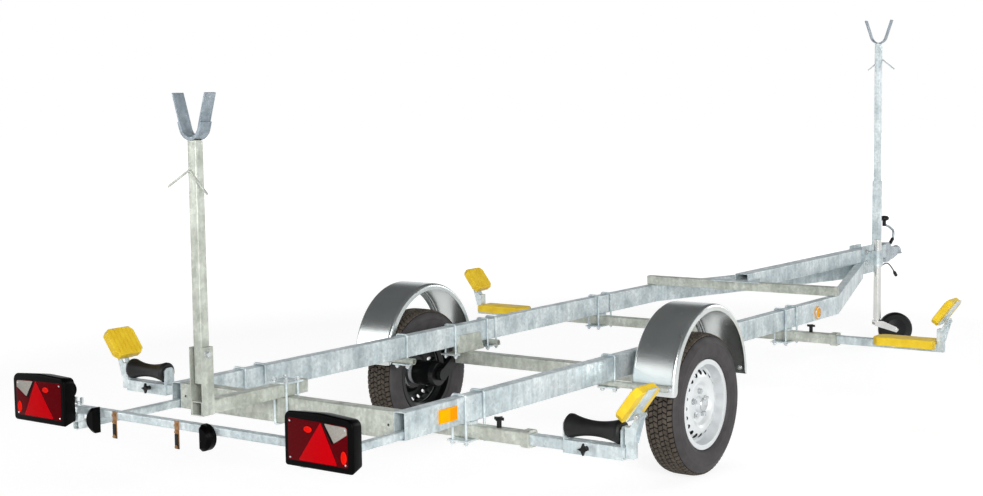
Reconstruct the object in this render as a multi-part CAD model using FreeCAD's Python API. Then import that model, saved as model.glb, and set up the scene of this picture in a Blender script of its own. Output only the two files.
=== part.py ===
import FreeCAD, Part
import math
import os

# A galvanised trailer for a twin hulled boat, standing on its two road wheels and its jockey wheel.
# +X points to the coupling, +Y to the trailer's left side, +Z up. Z = 0 is the ground.
# Sizes are in millimetres. Along the trailer, a station counts from the rear end of the side rails.

# Frame
rail_height = 100.0
rail_width = 50.0
rail_wall = 3.0
rail_top = 545.0
frame_width = 1154.0
bend_station = 3727.0
leg_end_station = 5340.0
leg_end_half_width = 56.0
corner_radius = 6.0
crossbar_size = 50.0
crossbar_station = 3700.0
end_cap = 4.0
beam_width = 80.0
beam_height = 88.0
beam_wall = 4.0
beam_front_station = 5760.0

# Wheels and axle
wheel_radius = 307.0
tyre_width = 165.0
tread_width = 118.0
bead_radius = 178.0
rim_flange_radius = 194.0
rim_width = 128.0
rim_sheet = 5.0
disc_offset = 30.0
vent_count = 20
vent_radius = 9.5
vent_circle = 138.0
nave_bore = 35.0
wheel_offset = 175.5
axle_station = 1748.0
axle_beam_station = 1870.0
axle_beam_size = 60.0
axle_beam_drop = 35.0
axle_overhang = 13.0
axle_saddle_length = 220.0
axle_clamp_station = 1754.0
arm_thickness = 22.0
arm_gap = 6.0
spindle_radius = 18.0
hub_radius = 62.0
running_fit = 0.06

# Fenders
fender_radius = 335.0
fender_width = 206.0
fender_station = 1735.0
fender_height = 409.0
fender_sheet = 2.0
fender_flange = 30.0
fender_shoulder = 16.0
fender_drop = 14.0
fender_corner = 24.0
stay_radius = 14.0
stay_wall = 3.0
stay_inset = 45.0
stay_front_station = 2051.0
stay_clamp_spacing = 72.0
seat_gap = 0.3

# Cross beams that carry the hull supports
outer_tube = 50.0
outer_wall = 4.0
outer_overhang = 225.0
collar_length = 34.0
collar_wall = 6.0
packing = 10.0
inner_tube = 40.0
inner_wall = 3.0
inner_reach = 790.0
rear_beam_station = 401.5
front_beam_station = 3113.0
rear_clamp_spacing = 115.0
front_clamp_spacing = 130.0
rod_radius = 5.0
clamp_plate = 6.0
clamp_gap = 0.3
clamp_margin = 16.0
clamp_plate_width = 92.0

# Hull supports
rear_reach_left = 488.0
rear_reach_right = 441.0
front_reach = 554.0
post_size = 30.0
post_top = 500.0
ear_drop = 60.0
ear_inner = 4.5
roller_inset = 143.0
roller_length = 222.0
roller_radius = 42.5
roller_waist = 27.5
roller_end = 16.0
roller_lift = 48.0
roller_pin = 8.0
side_plate = 6.0
side_plate_gap = 3.0
side_plate_width = 52.0
side_plate_rise = 22.0
side_plate_corner = 12.0
tilt_angle = 53.0
tilt_length = 150.0
tilt_height = 136.0
tilt_shift = 30.0
tilt_thickness = 33.0
tilt_corner = 20.0
tilt_backing = 4.0
tilt_backing_width = 62.0
tilt_tail = 12.0
tilt_seat = 17.0
tilt_lug = 22.0
pivot_out = 34.0
pivot_height = -5.0
pivot_pin = 6.0
ear_radius = 10.0
pad_groove = 2.0
pad_groove_count = 6
pad_corner = 6.0
flat_length = 305.0
flat_width = 120.0
flat_thickness = 40.0
flat_over = 17.0
flat_corner = 28.0
knob_radius = 22.0
knob_waist = 9.0
knob_height = 11.0

# Light board
light_tube = 30.0
light_wall = 2.5
light_rear_station = -490.0
light_reach = 860.0
light_stub = 28.0
lamp_width = 282.0
lamp_height = 176.0
lamp_depth = 54.0
lamp_overlap = 27.0
lamp_centre_height = 549.0
lens_margin = 9.0
lens_proud = 7.0
lamp_gap = 5.0
plate_lamp_radius = 46.0
plate_lamp_depth = 36.0
plate_lamp_drop = 22.0
plate_lamp_y = 418.0
plate_lamp_right_y = -118.0
clip_y_left = 340.0
clip_y_right = 25.0

# Mast supports
foot_tube = 50.0
foot_wall = 4.0
foot_rear_station = -420.0
foot_front_station = 117.0
channel_height = 237.0
channel_wall = 5.0
channel_depth = 55.0
post_tube = 40.0
post_wall = 3.0
rear_post_bottom = 655.0
rear_post_top = 1490.0
fork_radius = 52.0
fork_height = 154.0
fork_bar = 50.0
fork_sheet = 6.0
fork_splay = 17.0
fork_cradle = 62.0
front_sleeve_station = 5702.0
front_sleeve_top = 1055.0
sleeve_depth = 200.0
front_post_top = 1952.0
rear_hook_drop = 100.0
front_hook_drop = 99.0
front_fork_radius = 54.0
front_fork_height = 150.0
front_fork_bar = 40.0
front_fork_splay = 19.0
hook_radius = 4.0
hook_sink = 1.5

# Coupling
plate_thickness = 8.0
plate_length = 176.0
plate_station = 5448.0
plate_low = 472.0
plate_high = 652.0
clamp_low = 520.0
clamp_high = 620.0
tie_plate_half = 150.0
tie_plate_front = 160.0
tie_plate_rear = 40.0
ball_station = 6046.0
ball_height = 566.0
ball_radius = 25.0
socket_wall = 11.0
socket_depth = 18.0
head_tail = 70.0
head_low = 512.0
head_high = 640.0
head_saddle = 602.0
lever_back = 122.0
lever_boss = 10.0
handle_radius = 8.0
handle_bend = 24.0
lever_knob_back = 216.0
lever_knob_low = 748.0
lever_knob_height = 70.0
lever_knob_radius = 31.0
lever_knob_neck = 12.0

# Lighting cable and its plug
cable_radius = 4.0
cable_out = 505.0
cable_sag = 470.0
cable_crest = 496.0
cable_end_station = 6012.0
cable_end_height = 428.0
plug_radius = 11.0
plug_length = 52.0

# Jockey wheel
jockey_radius = 24.0
jockey_wall = 3.0
jockey_station = 5458.0
jockey_y = -104.0
jockey_top = 692.0
jockey_low = 180.0
jockey_stem = 14.0
jockey_stem_radius = 20.0
jockey_wheel_radius = 108.0
jockey_wheel_width = 58.0
jockey_axle_radius = 8.0
jockey_trail = 118.0
jockey_heading = -54.4
fork_plate = 5.0
fork_gap = 5.0

# Reflectors on the rails
reflector_depth = 6.0
reflector_low = 471.0
reflector_high = 521.0
reflector_rear_station = 190.0
reflector_length = 104.0
round_reflector_station = 3445.0
round_reflector_radius = 33.0
round_reflector_height = 487.0

rail_bottom = rail_top - rail_height
rail_outer = frame_width / 2
rail_inner = rail_outer - rail_width
rail_centre = rail_outer - rail_width / 2
axle_half = rail_outer + axle_overhang
outer_half = rail_outer + outer_overhang
rear_post_left = outer_half + rear_reach_left
rear_post_right = outer_half + rear_reach_right
front_post = outer_half + front_reach
light_bar_half = rail_centre + light_tube / 2
lamp_inner_y = light_bar_half - lamp_overlap
leg_angle = math.degrees(math.atan2(rail_outer - leg_end_half_width, leg_end_station - bend_station))
cross_beam_top = rail_bottom - packing
cross_beam_centre = cross_beam_top - outer_tube / 2
arm_height = cross_beam_top - outer_tube + outer_wall + seat_gap + inner_tube / 2
axle_height = rail_bottom - axle_beam_drop - axle_beam_size / 2
wheel_y = rail_outer + wheel_offset
light_arm_centre = rail_bottom + rail_wall + light_tube / 2 + seat_gap
light_bar_centre = light_arm_centre + light_tube / 2 + light_stub + light_tube / 2
lens_rear_station = light_rear_station - lamp_gap - lamp_depth - lens_proud
stay_station = fender_station - fender_radius - stay_radius - seat_gap
stay_height = rail_bottom - stay_radius
coupling_nose = ball_station + ball_radius + socket_wall + 4
origin_station = (coupling_nose + lens_rear_station) / 2

parts_folder = "parts"


def vec(x, y, z):
    return FreeCAD.Vector(x, y, z)


def box(x0, x1, y0, y1, z0, z1):
    return Part.makeBox(x1 - x0, y1 - y0, z1 - z0, vec(x0, y0, z0))


def rod(start, end, radius):
    axis = end - start
    return Part.makeCylinder(radius, axis.Length, start, axis)


def turned(shape, point, axis, angle):
    copy = shape.copy()
    copy.rotate(point, axis, angle)
    return copy


def moved(shape, x, y, z):
    copy = shape.copy()
    copy.translate(vec(x, y, z))
    return copy


def other_side(shape):
    return shape.mirror(vec(0, 0, 0), vec(0, 1, 0))


def fused(shapes):
    joined = shapes[0]
    if len(shapes) > 1:
        joined = shapes[0].multiFuse(shapes[1:])
    return joined.removeSplitter()


def rounded_wire(width, height, radius):
    # A rectangle with round corners in the YZ plane, width along Y.
    y = width / 2
    z = height / 2
    quarter = radius * (1 - math.sqrt(0.5))
    edges = []
    for sy, sz in ((1, 1), (-1, 1), (-1, -1), (1, -1)):
        side = vec(0, sy * y, sz * (z - radius))
        middle = vec(0, sy * (y - quarter), sz * (z - quarter))
        end = vec(0, sy * (y - radius), sz * z)
        points = (side, middle, end) if sy * sz > 0 else (end, middle, side)
        edges.append(Part.Arc(*points).toShape())
    outline = []
    for index, edge in enumerate(edges):
        following = edges[(index + 1) % len(edges)]
        outline.append(edge)
        start = edge.valueAt(edge.LastParameter)
        outline.append(Part.makeLine(start, following.valueAt(following.FirstParameter)))
    return Part.Wire(outline)


def tube_x(length, width, height, wall):
    # A hollow section that starts at the origin and runs along +X.
    outer = Part.Face(rounded_wire(width, height, corner_radius)).extrude(vec(length, 0, 0))
    inner_radius = max(corner_radius - wall, 1.0)
    inner = Part.Face(rounded_wire(width - 2 * wall, height - 2 * wall, inner_radius))
    return outer.cut(inner.extrude(vec(length, 0, 0)))


def tube_along_y(x, y0, y1, z, width, height, wall):
    tube = turned(tube_x(y1 - y0, width, height, wall), vec(0, 0, 0), vec(0, 0, 1), 90)
    return moved(tube, x, y0, z)


def tube_along_z(x, y, z0, z1, width, wall):
    tube = turned(tube_x(z1 - z0, width, width, wall), vec(0, 0, 0), vec(0, 1, 0), -90)
    return moved(tube, x, y, z0)


def half_space(point, normal):
    size = 20000.0
    block = Part.makeBox(size, size, size, vec(0, -size / 2, -size / 2))
    turn = FreeCAD.Rotation(vec(1, 0, 0), normal)
    block.Placement = FreeCAD.Placement(point, turn)
    return block


def prism_x(points, x0, x1):
    # A closed outline of (y, z) points, extruded from x0 to x1.
    corners = [vec(x0, y, z) for y, z in points]
    wire = Part.makePolygon(corners + [corners[0]])
    return Part.Face(wire).extrude(vec(x1 - x0, 0, 0))


def prism_y(points, y0, y1):
    # A closed outline of (x, z) points, extruded from y0 to y1.
    corners = [vec(x, y0, z) for x, z in points]
    wire = Part.makePolygon(corners + [corners[0]])
    return Part.Face(wire).extrude(vec(0, y1 - y0, 0))


def bent_rod(points, bend_radius, radius):
    # A round bar through the points, with a bend of bend_radius at each inner point.
    lengths = []
    start = points[0]
    for before, corner, after in zip(points, points[1:], points[2:]):
        into = (corner - before).normalize()
        out = (after - corner).normalize()
        half_turn = into.getAngle(out) / 2
        first = corner - into * bend_radius * math.tan(half_turn)
        towards = (out - into).normalize()
        centre = corner + towards * (bend_radius / math.cos(half_turn))
        section = Part.Face(Part.Wire(Part.makeCircle(radius, first, into)))
        lengths.append(rod(start, first, radius))
        lengths.append(section.revolve(centre, into.cross(out), math.degrees(2 * half_turn)))
        start = corner + out * bend_radius * math.tan(half_turn)
    lengths.append(rod(start, points[-1], radius))
    return fused(lengths)


def revolved(points, centre, axis):
    # A closed outline of (along axis, radius) points turned about the axis through the centre.
    corners = [vec(a, 0, r) for a, r in points]
    wire = Part.makePolygon(corners + [corners[0]])
    solid = Part.Face(wire).revolve(vec(0, 0, 0), vec(1, 0, 0), 360)
    solid.Placement = FreeCAD.Placement(centre, FreeCAD.Rotation(vec(1, 0, 0), axis))
    return solid


def star_knob(centre, axis, stem):
    # A four pointed plastic knob on a round hub, seated at the centre and rising along the axis.
    points = []
    for step in range(8):
        angle = math.pi / 4 * step
        reach = knob_radius if step % 2 == 0 else knob_waist
        points.append(vec(0, reach * math.cos(angle), reach * math.sin(angle)))
    star = Part.Face(Part.makePolygon(points + [points[0]])).extrude(vec(knob_height, 0, 0))
    star = moved(star, stem, 0, 0)
    hub = rod(vec(0, 0, 0), vec(stem + knob_height / 2, 0, 0), knob_waist)
    knob = fused([star, hub])
    knob.Placement = FreeCAD.Placement(centre, FreeCAD.Rotation(vec(1, 0, 0), axis))
    return knob


# Chassis frame

def leg_heading():
    return vec(math.cos(math.radians(leg_angle)), -math.sin(math.radians(leg_angle)), 0)


def side_rail_left():
    # The straight rail, mitred where the drawbar leg is welded on.
    corner = vec(bend_station, rail_outer, rail_top)
    mitre = (leg_heading() + vec(1, 0, 0)).normalize()
    rail = moved(tube_x(bend_station + rail_height, rail_width, rail_height, rail_wall),
                 0, rail_centre, rail_top - rail_height / 2)
    return rail.cut(half_space(corner, mitre))


def drawbar_leg_left():
    # The leg runs in to the head, mitred to the rail and squared off at its front end.
    heading = leg_heading()
    corner = vec(bend_station, rail_outer, rail_top)
    mitre = (heading + vec(1, 0, 0)).normalize()
    length = (leg_end_station - bend_station) / heading.x + 2 * rail_height
    leg = tube_x(length, rail_width, rail_height, rail_wall)
    leg = moved(leg, -rail_height, -rail_width / 2, -rail_height / 2)
    leg = turned(leg, vec(0, 0, 0), vec(0, 0, 1), -leg_angle)
    leg = moved(leg, corner.x, corner.y, corner.z)
    leg = leg.cut(half_space(corner, mitre * -1))
    return leg.cut(half_space(vec(leg_end_station, 0, 0), vec(1, 0, 0)))


def rear_crossmember():
    tube = tube_along_y(rail_width / 2, -rail_inner, rail_inner, rail_top - rail_height / 2,
                        rail_width, rail_height, rail_wall)
    hole_radius = 5.0
    hole_inset = 24.0
    for side in (-1, 1):
        y = side * (rail_inner - hole_inset)
        tube = tube.cut(rod(vec(-1, y, rail_top - rail_height / 2),
                            vec(rail_wall + 1, y, rail_top - rail_height / 2), hole_radius))
    return tube


def front_crossbar():
    tube = tube_along_y(crossbar_station, -rail_outer + end_cap, rail_outer - end_cap,
                        rail_top + crossbar_size / 2, crossbar_size, crossbar_size, rail_wall)
    pieces = [tube]
    for side in (-1, 1):
        y0, y1 = sorted((side * rail_outer, side * (rail_outer - end_cap)))
        cap = Part.Face(rounded_wire(crossbar_size, crossbar_size, corner_radius))
        cap = turned(cap.extrude(vec(y1 - y0, 0, 0)), vec(0, 0, 0), vec(0, 0, 1), 90)
        pieces.append(moved(cap, crossbar_station, y0, rail_top + crossbar_size / 2))
    return fused(pieces)


def drawbar_beam():
    front_face = crossbar_station + crossbar_size / 2
    beam = tube_x(beam_front_station - front_face, beam_width, beam_height, beam_wall)
    beam = moved(beam, front_face, 0, rail_top + beam_height / 2)
    # Over the crossbar a folded plate ties the beam down, wider at its rear edge.
    rear = crossbar_station - crossbar_size / 2 - tie_plate_rear
    front = front_face + tie_plate_front
    outline = [(rear, -tie_plate_half), (front, -beam_width / 2), (front, beam_width / 2), (rear, tie_plate_half)]
    low = rail_top + crossbar_size
    corners = [vec(x, y, low) for x, y in outline]
    plate = Part.Face(Part.makePolygon(corners + [corners[0]])).extrude(vec(0, 0, end_cap))
    return fused([beam, plate, front_sleeve()])


def head_plates():
    plates = []
    x0 = plate_station - plate_length / 2
    x1 = plate_station + plate_length / 2
    for side in (-1, 1):
        near = side * beam_width / 2
        far = side * (beam_width / 2 + plate_thickness)
        y0, y1 = sorted((near, far))
        plate = box(x0, x1, y0, y1, rail_top, plate_high)
        drop = box(leg_end_station, x1, y0, y1, plate_low, rail_top)
        plates.append(fused([plate, drop]))
    # Below the beam a spacer closes the front of the legs.
    spacer = box(leg_end_station, x1, -beam_width / 2, beam_width / 2, plate_low, rail_top)
    hollow = box(leg_end_station + 40, x1 - 10, -beam_width / 2 + 8, beam_width / 2 - 8, plate_low - 1, rail_top - 8)
    plates.append(spacer.cut(hollow))
    return fused(plates)


# Axle, arms and wheels

def axle_beam():
    tube = tube_along_y(axle_beam_station, -axle_half, axle_half, axle_height,
                        axle_beam_size, axle_beam_size, rail_wall)
    bracket = axle_bracket_left()
    return fused([tube, bracket, other_side(bracket)])


def axle_bracket_left():
    # A welded saddle under the rail, with a trapezoid flange on the rail's inner face.
    half = axle_saddle_length / 2
    top = rail_top - rail_height / 2
    low = rail_bottom - axle_beam_drop
    flange = prism_y([(axle_beam_station - half, low), (axle_beam_station - half * 0.72, top),
                      (axle_beam_station + half * 0.72, top), (axle_beam_station + half, low)],
                     rail_inner - plate_thickness, rail_inner)
    seat = box(axle_clamp_station - clamp_margin, axle_beam_station + half, rail_inner, rail_outer,
               low, low + end_cap)
    pieces = [flange, seat]
    for x in (axle_beam_station - half * 0.6, axle_beam_station + half * 0.6 - end_cap):
        pieces.append(box(x, x + end_cap, rail_inner, rail_outer, low + end_cap, rail_bottom))
    return fused(pieces)


def swing_arm_left():
    # The trailing arm hangs from the end of the axle beam and carries the spindle.
    inner = axle_half
    outer = inner + arm_thickness
    pivot = vec(axle_beam_station, inner, axle_height)
    hub = vec(axle_station, inner, wheel_radius)
    pieces = [rod(pivot, vec(pivot.x, outer, pivot.z), 34.0)]
    pieces.append(rod(hub, vec(hub.x, outer, hub.z), 30.0))
    along = hub - pivot
    side = vec(-along.z, 0, along.x).normalize()
    corners = [pivot + side * 30, hub + side * 27, hub - side * 27, pivot - side * 30]
    web = Part.Face(Part.makePolygon(corners + [corners[0]])).extrude(vec(0, arm_thickness, 0))
    pieces.append(web)
    pieces.append(rod(vec(hub.x, outer, hub.z), vec(hub.x, wheel_y + 34, hub.z), spindle_radius))
    return fused(pieces)


def hub_left():
    # The hub turns on the spindle and carries the rim on its flange.
    start = axle_half + arm_thickness + arm_gap
    seat = wheel_y + disc_offset - rim_sheet
    bore = spindle_radius + running_fit
    outline = [(start, bore), (start, 56.0), (start + 22, hub_radius), (seat - 12, hub_radius - 4),
               (seat - 12, 78.0), (seat, 78.0), (seat, 34.0), (seat + 22, 32.0), (seat + 22, bore)]
    hub = revolved(outline, vec(axle_station, 0, wheel_radius), vec(0, 1, 0))
    cap = rod(vec(axle_station, seat + 22, wheel_radius), vec(axle_station, seat + 27, wheel_radius), 30.0)
    return fused([hub, cap])


def rim_left():
    # A pressed disc welded in a rolled rim, the disc pierced by a ring of vents.
    half = rim_width / 2
    well = bead_radius - 22
    outline = [(-half, rim_flange_radius), (-half + rim_sheet, rim_flange_radius),
               (-half + rim_sheet + 1, bead_radius), (-half + 34, bead_radius - 2),
               (-half + 46, well), (-4, well), (14, bead_radius - 4), (half - rim_sheet - 1, bead_radius),
               (half - rim_sheet, rim_flange_radius), (half, rim_flange_radius),
               (half, bead_radius - rim_sheet), (16, bead_radius - 4 - rim_sheet), (-2, well - rim_sheet),
               (-half + 44, well - rim_sheet), (-half + 32, bead_radius - 2 - rim_sheet),
               (-half, bead_radius - rim_sheet)]
    rim = revolved(outline, vec(axle_station, wheel_y, wheel_radius), vec(0, 1, 0))
    face = disc_offset
    seat = well - rim_sheet / 2
    disc = [(face, nave_bore), (face, 80), (face + 13, 92), (face + 19, 104), (face + 17, 119), (face + 8, 137),
            (face - 2, 147), (-5, seat), (-13, seat), (face - 8, 143), (face + 2, 134), (face + 11, 117), (face + 13, 105),
            (face + 8, 95), (face - rim_sheet, 83), (face - rim_sheet, nave_bore)]
    disc = revolved(disc, vec(axle_station, wheel_y, wheel_radius), vec(0, 1, 0))
    holes = []
    for index in range(vent_count):
        angle = 2 * math.pi * index / vent_count
        x = axle_station + vent_circle * math.cos(angle)
        z = wheel_radius + vent_circle * math.sin(angle)
        holes.append(rod(vec(x, wheel_y - half, z), vec(x, wheel_y + half, z), vent_radius))
    return fused([rim, disc.cut(Part.makeCompound(holes))])


def tyre_left():
    half = tyre_width / 2
    tread = tread_width / 2
    bead_half = rim_width / 2 - rim_sheet - 1 - seat_gap
    bead = bead_radius + seat_gap
    bulge = (bead_radius + wheel_radius) / 2
    right = [(tread - 24, wheel_radius), (tread - 2, wheel_radius - 4), (tread + 9, wheel_radius - 15),
             (half - 4, bulge + 24), (half, bulge), (half - 3, bulge - 22), (bead_half, rim_flange_radius + 3),
             (bead_half, bead), (bead_half - 14, bead), (tread - 2, wheel_radius - 24)]
    outline = right + [(-across_axle, radius) for across_axle, radius in reversed(right)]
    return revolved(outline, vec(axle_station, wheel_y, wheel_radius), vec(0, 1, 0))


def fender_left():
    # A rolled guard: a half round roof with soft shoulders and a flange down each side.
    axle_way = vec(0, 1, 0)
    drum = Part.makeCylinder(fender_radius, fender_width, vec(0, -fender_width / 2, 0), axle_way)
    drum = drum.makeFillet(fender_shoulder, rims_of(drum))
    core_width = fender_width - 2 * fender_sheet
    core = Part.makeCylinder(fender_radius - fender_sheet, core_width, vec(0, -core_width / 2, 0), axle_way)
    core = core.makeFillet(fender_shoulder - fender_sheet, rims_of(core))
    window = Part.makeCylinder(fender_radius - fender_flange, 2 * fender_width, vec(0, -fender_width, 0), axle_way)
    span = 2 * fender_radius
    below = box(-span, span, -fender_width, fender_width, -span, -fender_drop)
    shell = drum.cut(core).cut(window).cut(below)
    corners = []
    for side in (-1, 1):
        for x in (-1, 1):
            corners.append(fender_corner_cut(x, side))
    shell = shell.cut(Part.makeCompound(corners))
    return moved(shell, fender_station, wheel_y, fender_height)


def rims_of(drum):
    return [edge for edge in drum.Edges if edge.isClosed() and len(edge.Vertexes) == 1]


def fender_corner_cut(x, side):
    # The lower outside corner of a flange is cut away to a quarter round.
    tip = fender_radius - fender_flange
    x0, x1 = sorted((x * (tip - 1), x * (tip + fender_corner)))
    y0, y1 = sorted((side * (fender_width / 2 - fender_sheet - 1), side * (fender_width / 2 + 1)))
    block = box(x0, x1, y0, y1, -fender_drop - 1, -fender_drop + fender_corner)
    keep = rod(vec(x * (tip + fender_corner), y0 - 1, -fender_drop + fender_corner),
               vec(x * (tip + fender_corner), y1 + 1, -fender_drop + fender_corner), fender_corner)
    return block.cut(keep)


def fender_stays_left():
    # Round tubes under the rail: the rear one reaches out behind the guard, the front one to its inner flange.
    inner = rail_inner - stay_inset
    guard_inner = wheel_y - fender_width / 2 - seat_gap
    guard_outer = wheel_y + fender_width / 2 - fender_shoulder
    leg = rail_width / 2 + rod_radius + clamp_gap
    tubes = []
    for station, outer in ((stay_station, guard_outer), (stay_front_station, guard_inner)):
        tube = rod(vec(station, inner, stay_height), vec(station, outer, stay_height), stay_radius)
        bore = rod(vec(station, inner - 1, stay_height), vec(station, outer + 1, stay_height), stay_radius - stay_wall)
        tube = tube.cut(bore)
        if station == stay_station:
            for y in (rail_centre - leg, rail_centre + leg):
                hole = rod(vec(station, y, stay_height - 2 * stay_radius), vec(station, y, rail_bottom), rod_radius + clamp_gap)
                tube = tube.cut(hole)
        tubes.append(tube)
    return Part.makeCompound(tubes)


# Clamps

def rail_clamp(stations, stack):
    # Square bent bars over the rail pull a plate up against what lies beneath it.
    low = rail_bottom - stack
    leg = rail_width / 2 + rod_radius + clamp_gap
    top = rail_top + rod_radius + clamp_gap
    bottom = low - clamp_plate - clamp_margin
    bars = []
    holes = []
    for x in stations:
        points = [vec(x, rail_centre - leg, bottom), vec(x, rail_centre - leg, top),
                  vec(x, rail_centre + leg, top), vec(x, rail_centre + leg, bottom)]
        bars.append(bent_rod(points, 2 * rod_radius, rod_radius))
        for y in (rail_centre - leg, rail_centre + leg):
            holes.append(rod(vec(x, y, low - clamp_plate - 1), vec(x, y, low + 1), rod_radius + clamp_gap))
    plate = box(stations[0] - clamp_margin, stations[-1] + clamp_margin, rail_centre - clamp_plate_width / 2,
                rail_centre + clamp_plate_width / 2, low - clamp_plate, low)
    return bars + [plate.cut(Part.makeCompound(holes))]


def rail_clamps():
    pieces = []
    for station, spacing in ((rear_beam_station, rear_clamp_spacing), (front_beam_station, front_clamp_spacing)):
        pieces += rail_clamp([station - spacing / 2, station + spacing / 2], packing + outer_tube)
    pieces += rail_clamp([axle_clamp_station], axle_beam_drop)
    pieces += rail_clamp([stay_station], 2 * stay_radius)
    pieces += rail_clamp([stay_front_station - stay_clamp_spacing / 2, stay_front_station + stay_clamp_spacing / 2],
                         2 * stay_radius)
    return pieces + [other_side(piece) for piece in pieces]


def foot_clamps():
    # A bar on each side of the mast foot's tube goes under the rear crossmember and up through a strap.
    pieces = []
    rear = -rod_radius - clamp_gap
    front = rail_width + rod_radius + clamp_gap
    low = rail_bottom - rod_radius - clamp_gap
    strap = rail_top + foot_tube
    top = strap + clamp_plate + clamp_margin
    bars_y = foot_tube / 2 + rod_radius + clamp_gap
    holes = []
    for side in (-1, 1):
        y = side * bars_y
        points = [vec(rear, y, top), vec(rear, y, low), vec(front, y, low), vec(front, y, top)]
        pieces.append(bent_rod(points, 2 * rod_radius, rod_radius))
        for x in (rear, front):
            holes.append(rod(vec(x, y, strap - 1), vec(x, y, strap + clamp_plate + 1), rod_radius + clamp_gap))
    plate = box(rear - clamp_margin, front + clamp_margin, -bars_y - clamp_margin, bars_y + clamp_margin,
                strap, strap + clamp_plate)
    pieces.append(plate.cut(Part.makeCompound(holes)))
    return pieces


# Cross beams and hull supports

def cross_beam(station):
    tube = tube_along_y(station, -outer_half, outer_half, cross_beam_centre,
                        outer_tube, outer_tube, outer_wall)
    pieces = [tube]
    size = outer_tube + 2 * collar_wall
    for side in (-1, 1):
        y0, y1 = sorted((side * outer_half, side * (outer_half + collar_length)))
        inner = outer_tube - 2 * outer_wall
        collar = Part.Face(rounded_wire(size, size, corner_radius + collar_wall)).extrude(vec(y1 - y0, 0, 0))
        bore = Part.Face(rounded_wire(inner, inner, 2)).extrude(vec(y1 - y0, 0, 0))
        collar = turned(collar.cut(bore), vec(0, 0, 0), vec(0, 0, 1), 90)
        pieces.append(moved(collar, station, y0, cross_beam_centre))
    return fused(pieces)


def beam_packings():
    plates = []
    for station in (rear_beam_station, front_beam_station):
        for side in (-1, 1):
            y0, y1 = sorted((side * rail_inner, side * rail_outer))
            plates.append(box(station - outer_tube / 2, station + outer_tube / 2, y0, y1, cross_beam_top, rail_bottom))
    return plates


def hull_arm(station, post):
    # A sliding square tube with an upright whose two cheeks lean out to the tilt pad's pivot.
    inner_end = post - inner_reach
    tube = tube_along_y(station, inner_end, post - post_size / 2, arm_height, inner_tube, inner_tube, inner_wall)
    low = arm_height - inner_tube / 2
    half = post_size / 2
    upright = box(station - half, station + half, post - half, post + half, low, post_top)
    pieces = [tube, upright]
    pivot_y = post + pivot_out
    pivot_z = rail_top + pivot_height
    for side in (-1, 1):
        x0, x1 = sorted((station + side * half, station + side * (half + side_plate)))
        cheek = prism_x([(post - half, post_top - ear_drop), (post + half, post_top - ear_drop),
                         (pivot_y + ear_radius * 0.85, pivot_z - ear_radius * 0.5),
                         (pivot_y - ear_radius * 0.45, pivot_z + ear_radius * 0.3),
                         (post + ear_inner, post_top), (post - half, post_top)], x0, x1)
        crown = rod(vec(x0, pivot_y, pivot_z), vec(x1, pivot_y, pivot_z), ear_radius)
        pieces += [cheek, crown]
    arm = fused(pieces)
    reach = post_size + side_plate
    pin_hole = rod(vec(station - reach, pivot_y, pivot_z), vec(station + reach, pivot_y, pivot_z),
                   pivot_pin + running_fit)
    return arm.cut(pin_hole)


def tilt_slab(station, post, low, high, width, bottom, top):
    # A slab between two distances from the pivot, measured along the way that the pad faces.
    slab = Part.makeBox(width, top - bottom, high - low, vec(-width / 2, bottom, low))
    slab = turned(slab, vec(0, 0, 0), vec(1, 0, 0), tilt_angle)
    return moved(slab, station, post + pivot_out, rail_top + pivot_height)


def tilt_plate(station, post):
    # The steel strap behind the tilt pad, with the lug between the arm's cheeks, and the pivot pin.
    bottom = tilt_shift - tilt_height / 2
    top = tilt_shift + tilt_height / 2 + tilt_tail
    plate = tilt_slab(station, post, tilt_seat, tilt_seat + tilt_backing, tilt_backing_width, bottom, top)
    lug_half = post_size / 2 - clamp_gap
    lug = tilt_slab(station, post, -ear_radius, tilt_seat, 2 * lug_half, -tilt_lug / 2, tilt_lug / 2)
    reach = post_size / 2 + side_plate + 3
    pivot = vec(station, post + pivot_out, rail_top + pivot_height)
    pin = rod(pivot - vec(reach, 0, 0), pivot + vec(reach, 0, 0), pivot_pin)
    return fused([plate, lug, pin])


def tilt_cushion(station, post):
    # A thick moulded pad with cut corners and fine grooves up its face.
    low = tilt_seat + tilt_backing
    half_x = tilt_length / 2
    half_y = tilt_height / 2
    cut = tilt_corner
    outline = [(half_x, half_y - cut), (half_x - cut, half_y), (cut - half_x, half_y), (-half_x, half_y - cut),
               (-half_x, cut - half_y), (cut - half_x, -half_y), (half_x - cut, -half_y), (half_x, cut - half_y)]
    corners = [vec(x, y, low) for x, y in outline]
    pad = Part.Face(Part.makePolygon(corners + [corners[0]])).extrude(vec(0, 0, tilt_thickness))
    top = low + tilt_thickness
    pad = pad.makeFillet(pad_corner, [edge for edge in pad.Edges if edge.BoundBox.ZMin > top - 1])
    pitch = (tilt_length - 2 * cut) / (pad_groove_count - 1)
    grooves = []
    for index in range(pad_groove_count):
        x = cut - half_x + pitch * index
        grooves.append(box(x - pad_groove / 2, x + pad_groove / 2, -tilt_height, tilt_height, top - pad_groove, top + 1))
    pad = moved(pad.cut(Part.makeCompound(grooves)), 0, tilt_shift, 0)
    pad = turned(pad, vec(0, 0, 0), vec(1, 0, 0), tilt_angle)
    return moved(pad, station, post + pivot_out, rail_top + pivot_height)


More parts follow.
